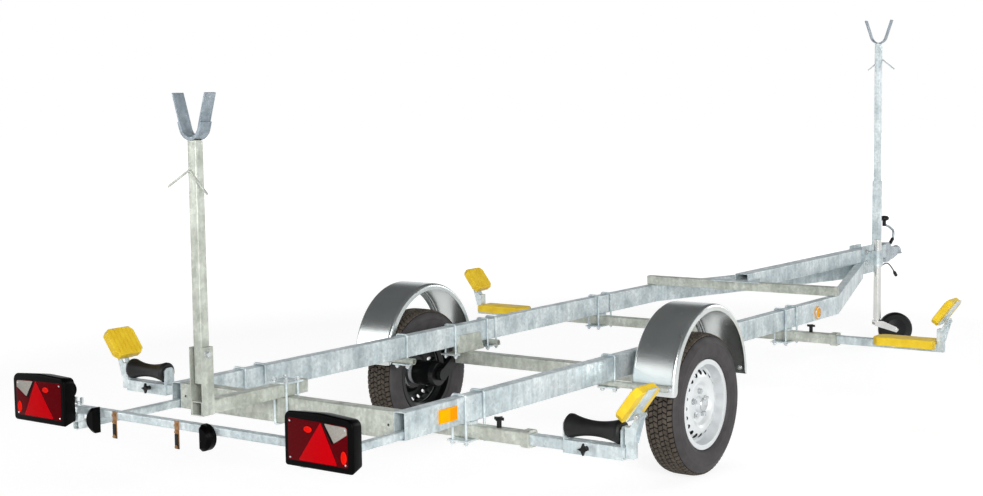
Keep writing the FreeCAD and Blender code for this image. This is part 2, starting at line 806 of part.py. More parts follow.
def roller_bracket(station, post):
    # A channel folded round the arm, with an end plate at each side of the roller to carry its pin.
    middle = post - roller_inset
    reach = roller_length / 2 + side_plate_gap
    low = arm_height - inner_tube / 2 - side_plate
    axis_z = arm_height + inner_tube / 2 + roller_lift
    half = side_plate_width / 2
    tube_half = inner_tube / 2
    y0 = middle - reach - side_plate
    y1 = middle + reach + side_plate
    pieces = [box(station - tube_half - side_plate, station + tube_half + side_plate, y0, y1, low, low + side_plate)]
    for side in (-1, 1):
        x0, x1 = sorted((station + side * tube_half, station + side * (tube_half + side_plate)))
        pieces.append(box(x0, x1, y0, y1, low, arm_height + tube_half))
    top = axis_z + side_plate_rise
    cut = side_plate_corner
    for y in (y0, middle + reach):
        outline = [(station - half, low), (station - half, top - cut), (station - half + cut, top),
                   (station + half - cut, top), (station + half, top - cut), (station + half, low)]
        window = box(station - tube_half, station + tube_half, y - 1, y + side_plate + 1, low + side_plate,
                     arm_height + tube_half)
        pieces.append(prism_y(outline, y, y + side_plate).cut(window))
    pieces.append(rod(vec(station, y0 - 4, axis_z), vec(station, y1 + 4, axis_z), roller_pin))
    return fused(pieces)


def hull_roller(station, post):
    middle = post - roller_inset
    axis_z = arm_height + inner_tube / 2 + roller_lift
    half = roller_length / 2
    bore = roller_pin + running_fit
    flat = half - roller_end
    side = [vec(-half, 0, bore), vec(-half, 0, roller_radius - 6), vec(-half + 6, 0, roller_radius),
            vec(-flat, 0, roller_radius)]
    edges = [Part.makeLine(a, b) for a, b in zip(side, side[1:])]
    edges.append(Part.Arc(side[-1], vec(0, 0, roller_waist), vec(flat, 0, roller_radius)).toShape())
    back = [vec(flat, 0, roller_radius), vec(half - 6, 0, roller_radius), vec(half, 0, roller_radius - 6),
            vec(half, 0, bore), vec(-half, 0, bore)]
    edges += [Part.makeLine(a, b) for a, b in zip(back, back[1:])]
    solid = Part.Face(Part.Wire(edges)).revolve(vec(0, 0, 0), vec(1, 0, 0), 360)
    solid.Placement = FreeCAD.Placement(vec(station, middle, axis_z), FreeCAD.Rotation(vec(1, 0, 0), vec(0, 1, 0)))
    return solid


def flat_pad(station, post):
    # A plastic saddle pressed over the arm, just inboard of the upright, with its inner corners cut.
    top = arm_height + inner_tube / 2 + flat_over
    low = top - flat_thickness
    half = flat_width / 2
    y1 = post - post_size / 2 - side_plate
    y0 = y1 - flat_length
    outline = [(station - half, y1), (station - half, y0 + flat_corner), (station - half + flat_corner, y0),
               (station + half - flat_corner, y0), (station + half, y0 + flat_corner), (station + half, y1)]
    corners = [vec(x, y, low) for x, y in outline]
    pad = Part.Face(Part.makePolygon(corners + [corners[0]])).extrude(vec(0, 0, flat_thickness))
    pad = pad.makeFillet(pad_corner, [edge for edge in pad.Edges if edge.BoundBox.ZMin > top - 1])
    groove = box(station - inner_tube / 2, station + inner_tube / 2, y0 - 1, y1 + 1,
                 low - 1, arm_height + inner_tube / 2)
    return pad.cut(groove)


def arm_knob(station, post):
    middle = post - roller_inset
    start = vec(station - inner_tube / 2 - side_plate, middle - roller_length / 10, arm_height)
    return star_knob(start, vec(-1, 0, 0), 2 * knob_waist)


def beam_knobs():
    # One knob between each rail and the collar at the beam's end.
    knobs = []
    for station in (rear_beam_station, front_beam_station):
        for side in (-1, 1):
            y = side * (rail_outer + outer_half) / 2
            knobs.append(star_knob(vec(station, y, cross_beam_top), vec(0, 0, 1), 3 * knob_waist))
    return Part.makeCompound(knobs)


# Light board

def light_frame():
    pieces = []
    bar = tube_along_y(light_rear_station + light_tube / 2, -light_bar_half, light_bar_half,
                       light_bar_centre, light_tube, light_tube, light_wall)
    pieces.append(bar)
    for side in (-1, 1):
        arm = moved(tube_x(light_reach, light_tube, light_tube, light_wall),
                    light_rear_station, side * rail_centre, light_arm_centre)
        stub = box(light_rear_station, light_rear_station + light_tube, side * rail_centre - 12, side * rail_centre + 12,
                   light_arm_centre + light_tube / 2, light_bar_centre - light_tube / 2)
        pieces += [arm, stub]
        y0, y1 = sorted((side * (lamp_inner_y + lens_margin), side * (lamp_inner_y + lamp_width - 60)))
        pieces.append(box(light_rear_station - lamp_gap, light_rear_station + 4, y0, y1,
                          light_bar_centre - 9, light_bar_centre + 9))
    return fused(pieces + wing_nuts())


def lamp_outline(inset):
    # The lamp's face as (y, z) points from the lower inner corner, for the left lamp.
    y0 = lamp_inner_y + inset
    y1 = lamp_inner_y + lamp_width - inset
    z0 = lamp_centre_height - lamp_height / 2 + inset
    z1 = lamp_centre_height + lamp_height / 2 - inset
    return [(y0, z0), (y1 - 34, z0), (y1, z0 + 30), (y1, z1 - 22), (y1 - 26, z1), (y0 + 12, z1), (y0, z1 - 12)]


def lamp_housing_left():
    front = light_rear_station - lamp_gap
    body = prism_x(lamp_outline(0), front - lamp_depth, front)
    recess = prism_x(lamp_outline(lens_margin), front - lamp_depth - 1, front - lamp_depth + 14)
    boss = rod(vec(front, lamp_inner_y + 46, lamp_centre_height + 42),
               vec(front + 22, lamp_inner_y + 46, lamp_centre_height + 42), 30.0)
    return fused([body.cut(recess), boss])


def lamp_lens_left():
    front = light_rear_station - lamp_gap
    lens = prism_x(lamp_outline(lens_margin + 0.4), front - lamp_depth - lens_proud, front - lamp_depth + 14)
    outer = [edge for edge in lens.Edges if edge.BoundBox.XMax < front - lamp_depth - lens_proud + 1]
    return lens.makeFillet(4.0, outer)


def plate_lamp(y, side):
    # A half round hood whose flat side faces the number plate.
    rear = light_rear_station - plate_lamp_depth
    z = light_bar_centre - plate_lamp_drop
    soft = plate_lamp_depth / 3
    outline = [(0, 0), (0, plate_lamp_radius - soft), (soft, plate_lamp_radius), (plate_lamp_depth, plate_lamp_radius),
               (plate_lamp_depth, 0)]
    drum = revolved(outline, vec(rear, y, z), vec(1, 0, 0))
    reach = 2 * plate_lamp_radius
    y0, y1 = sorted((y, y - side * reach))
    return drum.cut(box(rear - 1, light_rear_station + 1, y0, y1, z - reach, z + reach))


def plate_clips():
    clips = []
    x1 = light_rear_station
    for y in (clip_y_left, clip_y_right):
        z1 = light_bar_centre + light_tube / 2 + 2
        z0 = light_bar_centre - light_tube / 2 - 66
        clips.append(box(x1 - 3, x1, y - 10, y + 10, z0, z1))
    return Part.makeCompound(clips)


def wing_nuts():
    nuts = []
    for side in (-1, 1):
        y = side * (light_bar_half - 18)
        x = light_rear_station + light_tube / 2
        z = light_bar_centre + light_tube / 2
        hub = rod(vec(x, y, z), vec(x, y, z + 12), 8.0)
        wing = box(x - 3, x + 3, y - 22, y + 22, z + 6, z + 28)
        gap = box(x - 4, x + 4, y - 9, y + 9, z + 13, z + 30)
        nuts.append(fused([hub, wing.cut(gap)]))
    return nuts


# Mast supports

def mast_foot():
    # The tube lies on the rear crossmember and ends in an upright channel open to the rear.
    length = foot_front_station - foot_rear_station
    tube = moved(tube_x(length, foot_tube, foot_tube, foot_wall), foot_rear_station, 0, rail_top + foot_tube / 2)
    outer = foot_tube / 2 + channel_wall
    top = rail_top + channel_height
    front = foot_rear_station + channel_depth
    pieces = [tube]
    for side in (-1, 1):
        y0, y1 = sorted((side * foot_tube / 2, side * outer))
        pieces.append(box(foot_rear_station, front, y0, y1, rail_top, top))
    pieces.append(box(front - channel_wall, front, -foot_tube / 2, foot_tube / 2, rail_top + foot_tube, top))
    return fused(pieces)


def fork_outline(station, bar, bends, height, splay, centre_height):
    # The section of a flat bar bent to a U with spread arms, between an outer and an inner bend.
    lean = math.radians(splay)
    middle = vec(station - bar / 2, 0, centre_height)
    curves = []
    for bend in bends:
        length = (height + bends[0] * math.sin(lean) - bends[0]) / math.cos(lean)
        foot = middle + vec(0, bend * math.cos(lean), -bend * math.sin(lean))
        tip = foot + vec(0, length * math.sin(lean), length * math.cos(lean))
        curves.append((foot, tip, middle - vec(0, 0, bend)))
    (foot, tip, low), (inner_foot, inner_tip, inner_low) = curves
    edges = [Part.makeLine(tip, foot), Part.Arc(foot, low, across(foot)).toShape(),
             Part.makeLine(across(foot), across(tip)), Part.makeLine(across(tip), across(inner_tip)),
             Part.makeLine(across(inner_tip), across(inner_foot)),
             Part.Arc(across(inner_foot), inner_low, inner_foot).toShape(),
             Part.makeLine(inner_foot, inner_tip), Part.makeLine(inner_tip, tip)]
    return Part.Face(Part.Wire(edges)).extrude(vec(bar, 0, 0))


def across(point):
    return vec(point.x, -point.y, point.z)


def rear_fork(station):
    # The rear fork lies in a short cradle of the same bar, welded on the post's top.
    centre_height = rear_post_top + fork_radius
    fork = fork_outline(station, fork_bar, (fork_radius - fork_sheet, fork_radius - 2 * fork_sheet),
                        fork_height, fork_splay, centre_height)
    cradle = fork_outline(station, fork_bar, (fork_radius, fork_radius - fork_sheet), fork_cradle, fork_splay,
                          centre_height)
    return fused([fork, cradle])


def front_fork(station):
    return fork_outline(station, front_fork_bar, (front_fork_radius, front_fork_radius - fork_sheet),
                        front_fork_height, front_fork_splay, front_post_top + front_fork_radius)


def rear_hook(station):
    # A bent rod welded across the rear face of the post, its left arm the longer.
    x = station - post_tube / 2 - hook_radius + hook_sink
    z = rear_post_top - rear_hook_drop
    points = [vec(x, 114, z - 59), vec(x, 8, z), vec(x, -75, z - 81)]
    return bent_rod(points, 3.5 * hook_radius, hook_radius)


def front_hook(station):
    # The front post's rod is welded across its front face.
    x = station + post_tube / 2 + hook_radius - hook_sink
    z = front_post_top - front_hook_drop
    points = [vec(x, 81, z - 73), vec(x, -12, z), vec(x, -100, z - 69)]
    return bent_rod(points, 3.5 * hook_radius, hook_radius)


def front_sleeve():
    return tube_along_z(front_sleeve_station, 0, rail_top + beam_height, front_sleeve_top, foot_tube, foot_wall)


# Coupling

def coupling_head():
    # A cast head: a deep square tail on the beam's front end, a body that narrows and rises, and the socket.
    tail_end = beam_front_station + head_tail
    tail = box(beam_front_station, tail_end, -beam_width / 2, beam_width / 2, head_low, head_high)
    tail = tail.makeFillet(corner_radius, [edge for edge in tail.Edges if edge.BoundBox.XLength > 1])
    cup_radius = ball_radius + socket_wall
    low = ball_height - socket_depth
    sections = []
    for x, half_y, z0, z1 in ((tail_end, 34, head_low + 6, head_high - 8),
                              ((tail_end + ball_station) / 2 - 20, 24, head_low + 8, head_saddle),
                              (ball_station - 12, 30, low + 2, ball_height + 30)):
        corners = [vec(x, -half_y, z0), vec(x, half_y, z0), vec(x, half_y, z1), vec(x, -half_y, z1)]
        sections.append(Part.makePolygon(corners + [corners[0]]))
    body = Part.makeLoft(sections, True, True)
    cup = Part.makeSphere(cup_radius, vec(ball_station, 0, ball_height))
    skirt = rod(vec(ball_station, 0, low), vec(ball_station, 0, ball_height), cup_radius)
    rim = rod(vec(ball_station, 0, low), vec(ball_station, 0, low + 7), cup_radius + 4)
    lever_station = ball_station - lever_back
    boss = rod(vec(lever_station, 0, head_saddle - 2 * lever_boss), vec(lever_station, 0, head_saddle + lever_boss),
               handle_radius + 4)
    head = fused([tail, body, cup, skirt, rim, boss])
    reach = 3 * cup_radius
    head = head.cut(box(ball_station - cup_radius - 6, ball_station + reach, -reach, reach, low - reach, low))
    cavity = Part.makeSphere(ball_radius + seat_gap, vec(ball_station, 0, ball_height))
    mouth = rod(vec(ball_station, 0, low - reach), vec(ball_station, 0, ball_height), ball_radius + seat_gap)
    return head.cut(fused([cavity, mouth]))


def coupling_handle():
    # The release lever rises from its boss on the head, bends over and reaches back to its knob.
    foot_z = head_saddle + lever_boss
    points = [vec(ball_station - lever_back - handle_radius, 0, foot_z - handle_radius),
              vec(ball_station - 56, 0, head_high + 12), vec(ball_station - 46, 0, head_high + 64),
              vec(ball_station - 126, 0, head_high + 97),
              vec(ball_station - lever_knob_back, 0, lever_knob_low + lever_knob_neck)]
    lever = bent_rod(points, handle_bend, handle_radius)
    reach = 2 * handle_radius
    below = box(ball_station - lever_knob_back, ball_station, -reach, reach, foot_z - 2 * reach, foot_z + seat_gap)
    neck = rod(vec(ball_station - lever_knob_back, 0, lever_knob_low - reach),
               vec(ball_station - lever_knob_back, 0, lever_knob_low + lever_knob_height), lever_knob_neck + seat_gap)
    lever = lever.cut(fused([below, neck]))
    return max(lever.Solids, key=lambda piece: piece.Volume)


def handle_knob():
    # A black mushroom grip on the end of the lever.
    high = lever_knob_height
    neck = lever_knob_neck
    wide = lever_knob_radius
    outline = [(0, 0), (0, neck), (high * 0.5, neck), (high * 0.58, wide * 0.85), (high * 0.68, wide),
               (high * 0.84, wide * 0.97), (high * 0.96, wide * 0.7), (high, 0)]
    return revolved(outline, vec(ball_station - lever_knob_back, 0, lever_knob_low), vec(0, 0, 1))


# Lighting cable

def cable_route():
    # From the head's front face the cable sags, rises below the coupling and hangs over to its plug.
    front = plate_station + plate_length / 2
    return [vec(front + seat_gap, 0, cable_out), vec(front + 90, 0, cable_out), vec(front + 195, 0, cable_sag),
            vec(front + 297, 0, cable_crest), vec(front + 393, 0, cable_crest - 4),
            vec(cable_end_station, 0, cable_end_height)]


def cable_and_bends():
    # Straight runs joined by tangent arcs; each arc takes 0.45 of the shorter run beside it.
    points = cable_route()
    pieces = []
    start = points[0]
    for before, corner, after in zip(points, points[1:], points[2:]):
        into = (corner - before).normalize()
        out = (after - corner).normalize()
        half_turn = into.getAngle(out) / 2
        shorter = min((corner - before).Length, (after - corner).Length)
        bend = 0.45 * shorter / math.tan(half_turn)
        first = corner - into * (0.45 * shorter)
        centre = corner + (out - into).normalize() * (bend / math.cos(half_turn))
        section = Part.Face(Part.Wire(Part.makeCircle(cable_radius, first, into)))
        pieces.append(rod(start, first, cable_radius))
        pieces.append(section.revolve(centre, into.cross(out), math.degrees(2 * half_turn)))
        start = corner + out * (0.45 * shorter)
        print("cable bend", round(bend, 1))
    pieces.append(rod(start, points[-1], cable_radius))
    return fused(pieces)


def cable_plug():
    points = cable_route()
    along = (points[-1] - points[-2]).normalize()
    outline = [(0, 0), (0, cable_radius + 2), (plug_length * 0.3, plug_radius * 0.7), (plug_length * 0.36, plug_radius),
               (plug_length, plug_radius), (plug_length, plug_radius - 3), (plug_length * 0.7, plug_radius - 3),
               (plug_length * 0.7, 0)]
    return revolved(outline, points[-1] + along * seat_gap, along)


# Jockey wheel

def jockey_clamp():
    # A split ring round the jockey tube, bolted to the head's right plate.
    ring = rod(vec(jockey_station, jockey_y, clamp_low), vec(jockey_station, jockey_y, clamp_high), jockey_radius + 9)
    bore = rod(vec(jockey_station, jockey_y, clamp_low - 1), vec(jockey_station, jockey_y, clamp_high + 1),
               jockey_radius + seat_gap)
    near = -beam_width / 2 - plate_thickness
    neck = box(jockey_station - 30, jockey_station + 30, jockey_y, near, clamp_low, clamp_high)
    return fused([ring, neck]).cut(bore)


def jockey_leg():
    tube = rod(vec(jockey_station, jockey_y, jockey_low), vec(jockey_station, jockey_y, jockey_top), jockey_radius)
    bore = rod(vec(jockey_station, jockey_y, jockey_low - 1), vec(jockey_station, jockey_y, jockey_top - 8),
               jockey_radius - jockey_wall)
    plug = rod(vec(jockey_station, jockey_y, jockey_low), vec(jockey_station, jockey_y, jockey_low + 24),
               jockey_radius - jockey_wall)
    return fused([tube.cut(bore), plug])


def jockey_fork():
    # Modelled with the wheel trailing along +X, then swung to its resting heading.
    axle = vec(jockey_station + jockey_trail, jockey_y, jockey_wheel_radius)
    inner = jockey_wheel_width / 2 + fork_gap
    top = jockey_low
    crown = top - jockey_stem
    pieces = [rod(vec(jockey_station, jockey_y, crown), vec(jockey_station, jockey_y, top), jockey_stem_radius)]
    shoulder = 30.0
    bridge = box(jockey_station - 22, jockey_station + 6, jockey_y - inner - fork_plate,
                 jockey_y + inner + fork_plate, crown - 12, crown)
    pieces.append(bridge)
    for side in (-1, 1):
        y0, y1 = sorted((jockey_y + side * inner, jockey_y + side * (inner + fork_plate)))
        cheek = prism_y([(jockey_station - 22, crown), (jockey_station - 22, crown - 30),
                         (axle.x, axle.z - 17), (axle.x + 14, axle.z), (axle.x, axle.z + 17),
                         (jockey_station + shoulder, crown)], y0, y1)
        pieces.append(cheek)
    reach = inner + fork_plate + 8
    pieces.append(rod(vec(axle.x, jockey_y - reach, axle.z), vec(axle.x, jockey_y + reach, axle.z), jockey_axle_radius))
    return turned(fused(pieces), vec(jockey_station, jockey_y, 0), vec(0, 0, 1), jockey_heading)


def jockey_wheel():
    half = jockey_wheel_width / 2
    bore = jockey_axle_radius + running_fit
    r = jockey_wheel_radius
    outline = [(-half, bore), (-half, 28), (-half + 10, 66), (-half + 6, r - 12), (-half + 16, r), (half - 16, r),
               (half - 6, r - 12), (half - 10, 66), (half, 28), (half, bore)]
    wheel = revolved(outline, vec(jockey_station + jockey_trail, jockey_y, r), vec(0, 1, 0))
    return turned(wheel, vec(jockey_station, jockey_y, 0), vec(0, 0, 1), jockey_heading)


# Reflectors

def side_reflectors():
    pieces = []
    for side in (-1, 1):
        y0, y1 = sorted((side * rail_outer, side * (rail_outer + reflector_depth)))
        pieces.append(box(reflector_rear_station, reflector_rear_station + reflector_length, y0, y1,
                          reflector_low, reflector_high))
        pieces.append(rod(vec(round_reflector_station, y0, round_reflector_height),
                          vec(round_reflector_station, y1, round_reflector_height), round_reflector_radius))
    return Part.makeCompound(pieces)


def save(name, shape):
    placed = moved(shape, -origin_station, 0, 0)
    placed.exportStep(os.path.join(parts_folder, name + ".step"))


def both_sides(shape):
    return Part.makeCompound([shape, other_side(shape)])


def build():
    os.makedirs(parts_folder, exist_ok=True)
    save("side_rails", both_sides(side_rail_left()))
    save("drawbar_legs", both_sides(drawbar_leg_left()))
    for name, shape in {"hub": hub_left(), "rim": rim_left(), "tyre": tyre_left()}.items():
        save(name + "_left", shape)
        save(name + "_right", other_side(shape))
    save("fenders", both_sides(fender_left()))
    save("swing_arms", both_sides(swing_arm_left()))
    save("fender_stays", both_sides(fender_stays_left()))
    save("lamp_housings", both_sides(lamp_housing_left()))
    save("lamp_lenses", both_sides(lamp_lens_left()))
    save("rear_crossmember", rear_crossmember())
    save("front_crossbar", front_crossbar())
    save("drawbar_beam", drawbar_beam())
    save("head_plates", head_plates())
    save("axle_beam", axle_beam())
    save("beam_clamps", Part.makeCompound(rail_clamps() + foot_clamps() + beam_packings()))
    save("rear_cross_beam", cross_beam(rear_beam_station))
    save("front_cross_beam", cross_beam(front_beam_station))
    save("beam_knobs", beam_knobs())
    save_supports()
    save("light_frame", light_frame())
    save("plate_lamps", Part.makeCompound([plate_lamp(plate_lamp_y, 1), plate_lamp(plate_lamp_right_y, -1)]))
    save("plate_clips", plate_clips())
    save("mast_foot", mast_foot())
    save_masts()
    save("coupling_head", coupling_head())
    save("coupling_handle", coupling_handle())
    save("handle_knob", handle_knob())
    save("lighting_cable", cable_and_bends())
    save("cable_plug", cable_plug())
    save("jockey_clamp", jockey_clamp())
    save("jockey_leg", jockey_leg())
    save("jockey_fork", jockey_fork())
    save("jockey_wheel", jockey_wheel())
    save("side_reflectors", side_reflectors())


def save_supports():
    supports = (("rear", "left", rear_beam_station, rear_post_left),
                ("rear", "right", rear_beam_station, rear_post_right),
                ("front", "left", front_beam_station, front_post),
                ("front", "right", front_beam_station, front_post))
    for end, side, station, post in supports:
        shapes = {"arm": hull_arm(station, post), "tilt_plate": tilt_plate(station, post),
                  "tilt_pad": tilt_cushion(station, post)}
        if end == "rear":
            shapes["roller_bracket"] = roller_bracket(station, post)
            shapes["roller"] = hull_roller(station, post)
            shapes["roller_knob"] = arm_knob(station, post)
        else:
            shapes["flat_pad"] = flat_pad(station, post)
        for name, shape in shapes.items():
            placed = shape if side == "left" else other_side(shape)
            save(end + "_" + name + "_" + side, placed)


def save_masts():
    rear_station = foot_rear_station + channel_depth - channel_wall - seat_gap - post_tube / 2
    rear_tube = tube_along_z(rear_station, 0, rear_post_bottom, rear_post_top, post_tube, post_wall)
    save("rear_mast_post", fused([rear_tube, rear_hook(rear_station)]))
    save("rear_mast_fork", rear_fork(rear_station))
    bottom = front_sleeve_top - sleeve_depth
    front_station = front_sleeve_station + foot_tube / 2 - foot_wall - seat_gap - post_tube / 2
    front_tube = tube_along_z(front_station, 0, bottom, front_post_top, post_tube, post_wall)
    save("front_mast_post", fused([front_tube, front_hook(front_station)]))
    save("front_mast_fork", front_fork(front_station))


build()
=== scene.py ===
import bpy
import math
from mathutils import Matrix, Vector


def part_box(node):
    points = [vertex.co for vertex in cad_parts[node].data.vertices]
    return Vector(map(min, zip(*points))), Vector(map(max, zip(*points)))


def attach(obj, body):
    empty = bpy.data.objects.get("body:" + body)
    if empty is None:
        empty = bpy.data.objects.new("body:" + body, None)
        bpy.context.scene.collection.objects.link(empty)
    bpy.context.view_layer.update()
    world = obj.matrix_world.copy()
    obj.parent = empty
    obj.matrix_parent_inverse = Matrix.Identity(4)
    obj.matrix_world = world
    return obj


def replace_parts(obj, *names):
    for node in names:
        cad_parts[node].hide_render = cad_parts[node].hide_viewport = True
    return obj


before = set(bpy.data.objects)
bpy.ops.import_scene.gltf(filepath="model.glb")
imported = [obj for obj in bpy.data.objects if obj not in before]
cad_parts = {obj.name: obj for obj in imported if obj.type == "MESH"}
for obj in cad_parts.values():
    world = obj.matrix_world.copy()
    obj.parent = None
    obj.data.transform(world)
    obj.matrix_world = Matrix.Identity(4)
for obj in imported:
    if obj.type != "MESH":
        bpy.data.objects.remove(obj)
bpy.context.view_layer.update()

# Where things stand, in metres. A station counts forward from the rear end of the side rails.
layout = {
    "originStation": 2.765, "railOuter": 0.577, "railCentre": 0.552,
    "wheelStation": 1.748, "wheelOut": 0.7525, "wheelRadius": 0.307,
}
sides = (("left", 1), ("right", -1))


def station(along):
    return along - layout["originStation"]


def wheelCentre(sign):
    return Vector((station(layout["wheelStation"]), sign * layout["wheelOut"], layout["wheelRadius"]))


# Nodes

def hexColour(code):
    # sRGB hex to linear, so a colour renders about as it is written
    code = code.lstrip("#")
    linear = []
    for start in (0, 2, 4):
        part = int(code[start:start + 2], 16) / 255
        linear.append(part / 12.92 if part <= 0.04045 else ((part + 0.055) / 1.055) ** 2.4)
    return (*linear, 1.0)


def emptyTree(holder):
    holder.use_nodes = True
    holder.node_tree.nodes.clear()
    return holder.node_tree


def addNode(tree, kind, settings=None, links=None):
    # Settings are ramp stops, attributes, or inputs by name or number with their values. Links are inputs
    # with their sources, and a node as a source gives its first output.
    node = tree.nodes.new(kind)
    for name, value in (settings or {}).items():
        if name == "stops":
            ramp = node.color_ramp
            while len(ramp.elements) < len(value):
                ramp.elements.new(0.5)
            for element, (place, code) in zip(ramp.elements, value):
                element.position = place
                element.color = hexColour(code)
        elif isinstance(name, int) or name in node.inputs:
            node.inputs[name].default_value = value
        else:
            setattr(node, name, value)
    for name, source in (links or {}).items():
        tree.links.new(source.outputs[0] if hasattr(source, "outputs") else source, node.inputs[name])
    return node


def newMaterial(name):
    material = bpy.data.materials.new(name)
    tree = emptyTree(material)
    return material, tree, addNode(tree, "ShaderNodeTexCoord").outputs["Object"]


# Kinds of material

def galvanisedSteel(name, base, dark, light, metallic=0.35, roughness=0.42):
    # Hot dip galvanised steel: grey blotches, crystals about 12 mm across and runs where the melt drained
    material, tree, place = newMaterial(name)
    blotches = addNode(tree, "ShaderNodeTexNoise", {"Scale": 9.0, "Detail": 4.0, "Roughness": 0.6},
                       {"Vector": place})
    tone = addNode(tree, "ShaderNodeValToRGB", {"stops": [(0.25, dark), (0.5, base), (0.72, light)]},
                   {"Fac": blotches})
    spangle = addNode(tree, "ShaderNodeTexVoronoi", {"Scale": 85.0}, {"Vector": place})
    crystal = addNode(tree, "ShaderNodeSeparateColor", links={"Color": spangle.outputs["Color"]})
    crystalTone = addNode(tree, "ShaderNodeMapRange", {"To Min": 0.87, "To Max": 1.09},
                          {"Value": crystal.outputs["Red"]})
    drawnOut = addNode(tree, "ShaderNodeMapping", {"Scale": (14.0, 14.0, 1.6)}, {"Vector": place})
    runs = addNode(tree, "ShaderNodeTexNoise", {"Scale": 3.2, "Detail": 3.0}, {"Vector": drawnOut})
    runRange = {"From Min": 0.3, "From Max": 0.7, "To Min": 0.83, "To Max": 1.07}
    runTone = addNode(tree, "ShaderNodeMapRange", runRange, {"Value": runs})
    bright = addNode(tree, "ShaderNodeMath", {"operation": "MULTIPLY"}, {0: crystalTone, 1: runTone})
    shade = addNode(tree, "ShaderNodeHueSaturation", links={"Color": tone, "Value": bright})
    gloss = addNode(tree, "ShaderNodeMapRange", {"To Min": roughness - 0.1, "To Max": roughness + 0.12},
                    {"Value": crystal.outputs["Green"]})
    grain = addNode(tree, "ShaderNodeTexNoise", {"Scale": 260.0, "Detail": 2.0}, {"Vector": place})
    bump = addNode(tree, "ShaderNodeBump", {"Strength": 0.12, "Distance": 0.001}, {"Height": grain})
    shader = addNode(tree, "ShaderNodeBsdfPrincipled", {"Metallic": metallic},
                     {"Base Color": shade, "Roughness": gloss, "Normal": bump})
    addNode(tree, "ShaderNodeOutputMaterial", links={"Surface": shader})
    return material


def zincSheet(name, base, dark):
    # Thin sheet, galvanised before it is rolled: smooth and bright, with hardly any spangle
    material, tree, place = newMaterial(name)
    cloud = addNode(tree, "ShaderNodeTexNoise", {"Scale": 6.0, "Detail": 3.0}, {"Vector": place})
    tone = addNode(tree, "ShaderNodeValToRGB", {"stops": [(0.3, dark), (0.7, base)]}, {"Fac": cloud})
    wear = addNode(tree, "ShaderNodeTexNoise", {"Scale": 120.0, "Detail": 3.0}, {"Vector": place})
    gloss = addNode(tree, "ShaderNodeMapRange", {"To Min": 0.2, "To Max": 0.3}, {"Value": wear})
    shader = addNode(tree, "ShaderNodeBsdfPrincipled", {"Metallic": 0.9},
                     {"Base Color": tone, "Roughness": gloss})
    addNode(tree, "ShaderNodeOutputMaterial", links={"Surface": shader})
    return material


def mouldedPlastic(name, base, dark, roughness=0.5, shine=0.3):
    # One moulded colour under slight dust. The grain of its mould is too fine to show, so it is drawn
    # about 1 mm wide.
    material, tree, place = newMaterial(name)
    dust = addNode(tree, "ShaderNodeTexNoise", {"Scale": 22.0, "Detail": 5.0}, {"Vector": place})
    tone = addNode(tree, "ShaderNodeValToRGB", {"stops": [(0.3, dark), (0.7, base)]}, {"Fac": dust})
    grain = addNode(tree, "ShaderNodeTexNoise", {"Scale": 900.0, "Detail": 2.0}, {"Vector": place})
    bump = addNode(tree, "ShaderNodeBump", {"Strength": 0.3, "Distance": 0.0004}, {"Height": grain})
    shader = addNode(tree, "ShaderNodeBsdfPrincipled", {"Roughness": roughness, "Specular IOR Level": shine},
                     {"Base Color": tone, "Normal": bump})
    addNode(tree, "ShaderNodeOutputMaterial", links={"Surface": shader})
    return material


def lensPlastic(name, base, dark, pitch=0.003):
    # Coloured acrylic with small optics moulded behind it, one every 3 or 4 mm
    material, tree, place = newMaterial(name)
    optics = addNode(tree, "ShaderNodeTexVoronoi", {"Scale": 1 / pitch, "Randomness": 0.15},
                     {"Vector": place})
    tone = addNode(tree, "ShaderNodeValToRGB", {"stops": [(0.0, base), (0.6, dark)]}, {"Fac": optics})
    bump = addNode(tree, "ShaderNodeBump", {"Strength": 0.25, "Distance": 0.0006}, {"Height": optics})
    shader = addNode(tree, "ShaderNodeBsdfPrincipled", {"Roughness": 0.22, "Specular IOR Level": 0.03},
                     {"Base Color": tone, "Normal": bump})
    addNode(tree, "ShaderNodeOutputMaterial", links={"Surface": shader})
    return material


# A wheel turns black from the first value to the second: of how far a face looks outward, of its distance
# from the trailer's middle plane, and of its distance from the middle of the nearest vent. This black is
# painted shade in and round the vents, and on the inner side it is partly the hub's black drum and partly
# painted shade.
rimDarkening = {
    "facing": {"From Min": -0.12, "From Max": -0.3}, "depth": {"From Min": 0.750, "From Max": 0.742},
    "vent": {"From Min": 0.0122, "From Max": 0.0114}, "vents": 20, "ventCircle": 0.138,
}


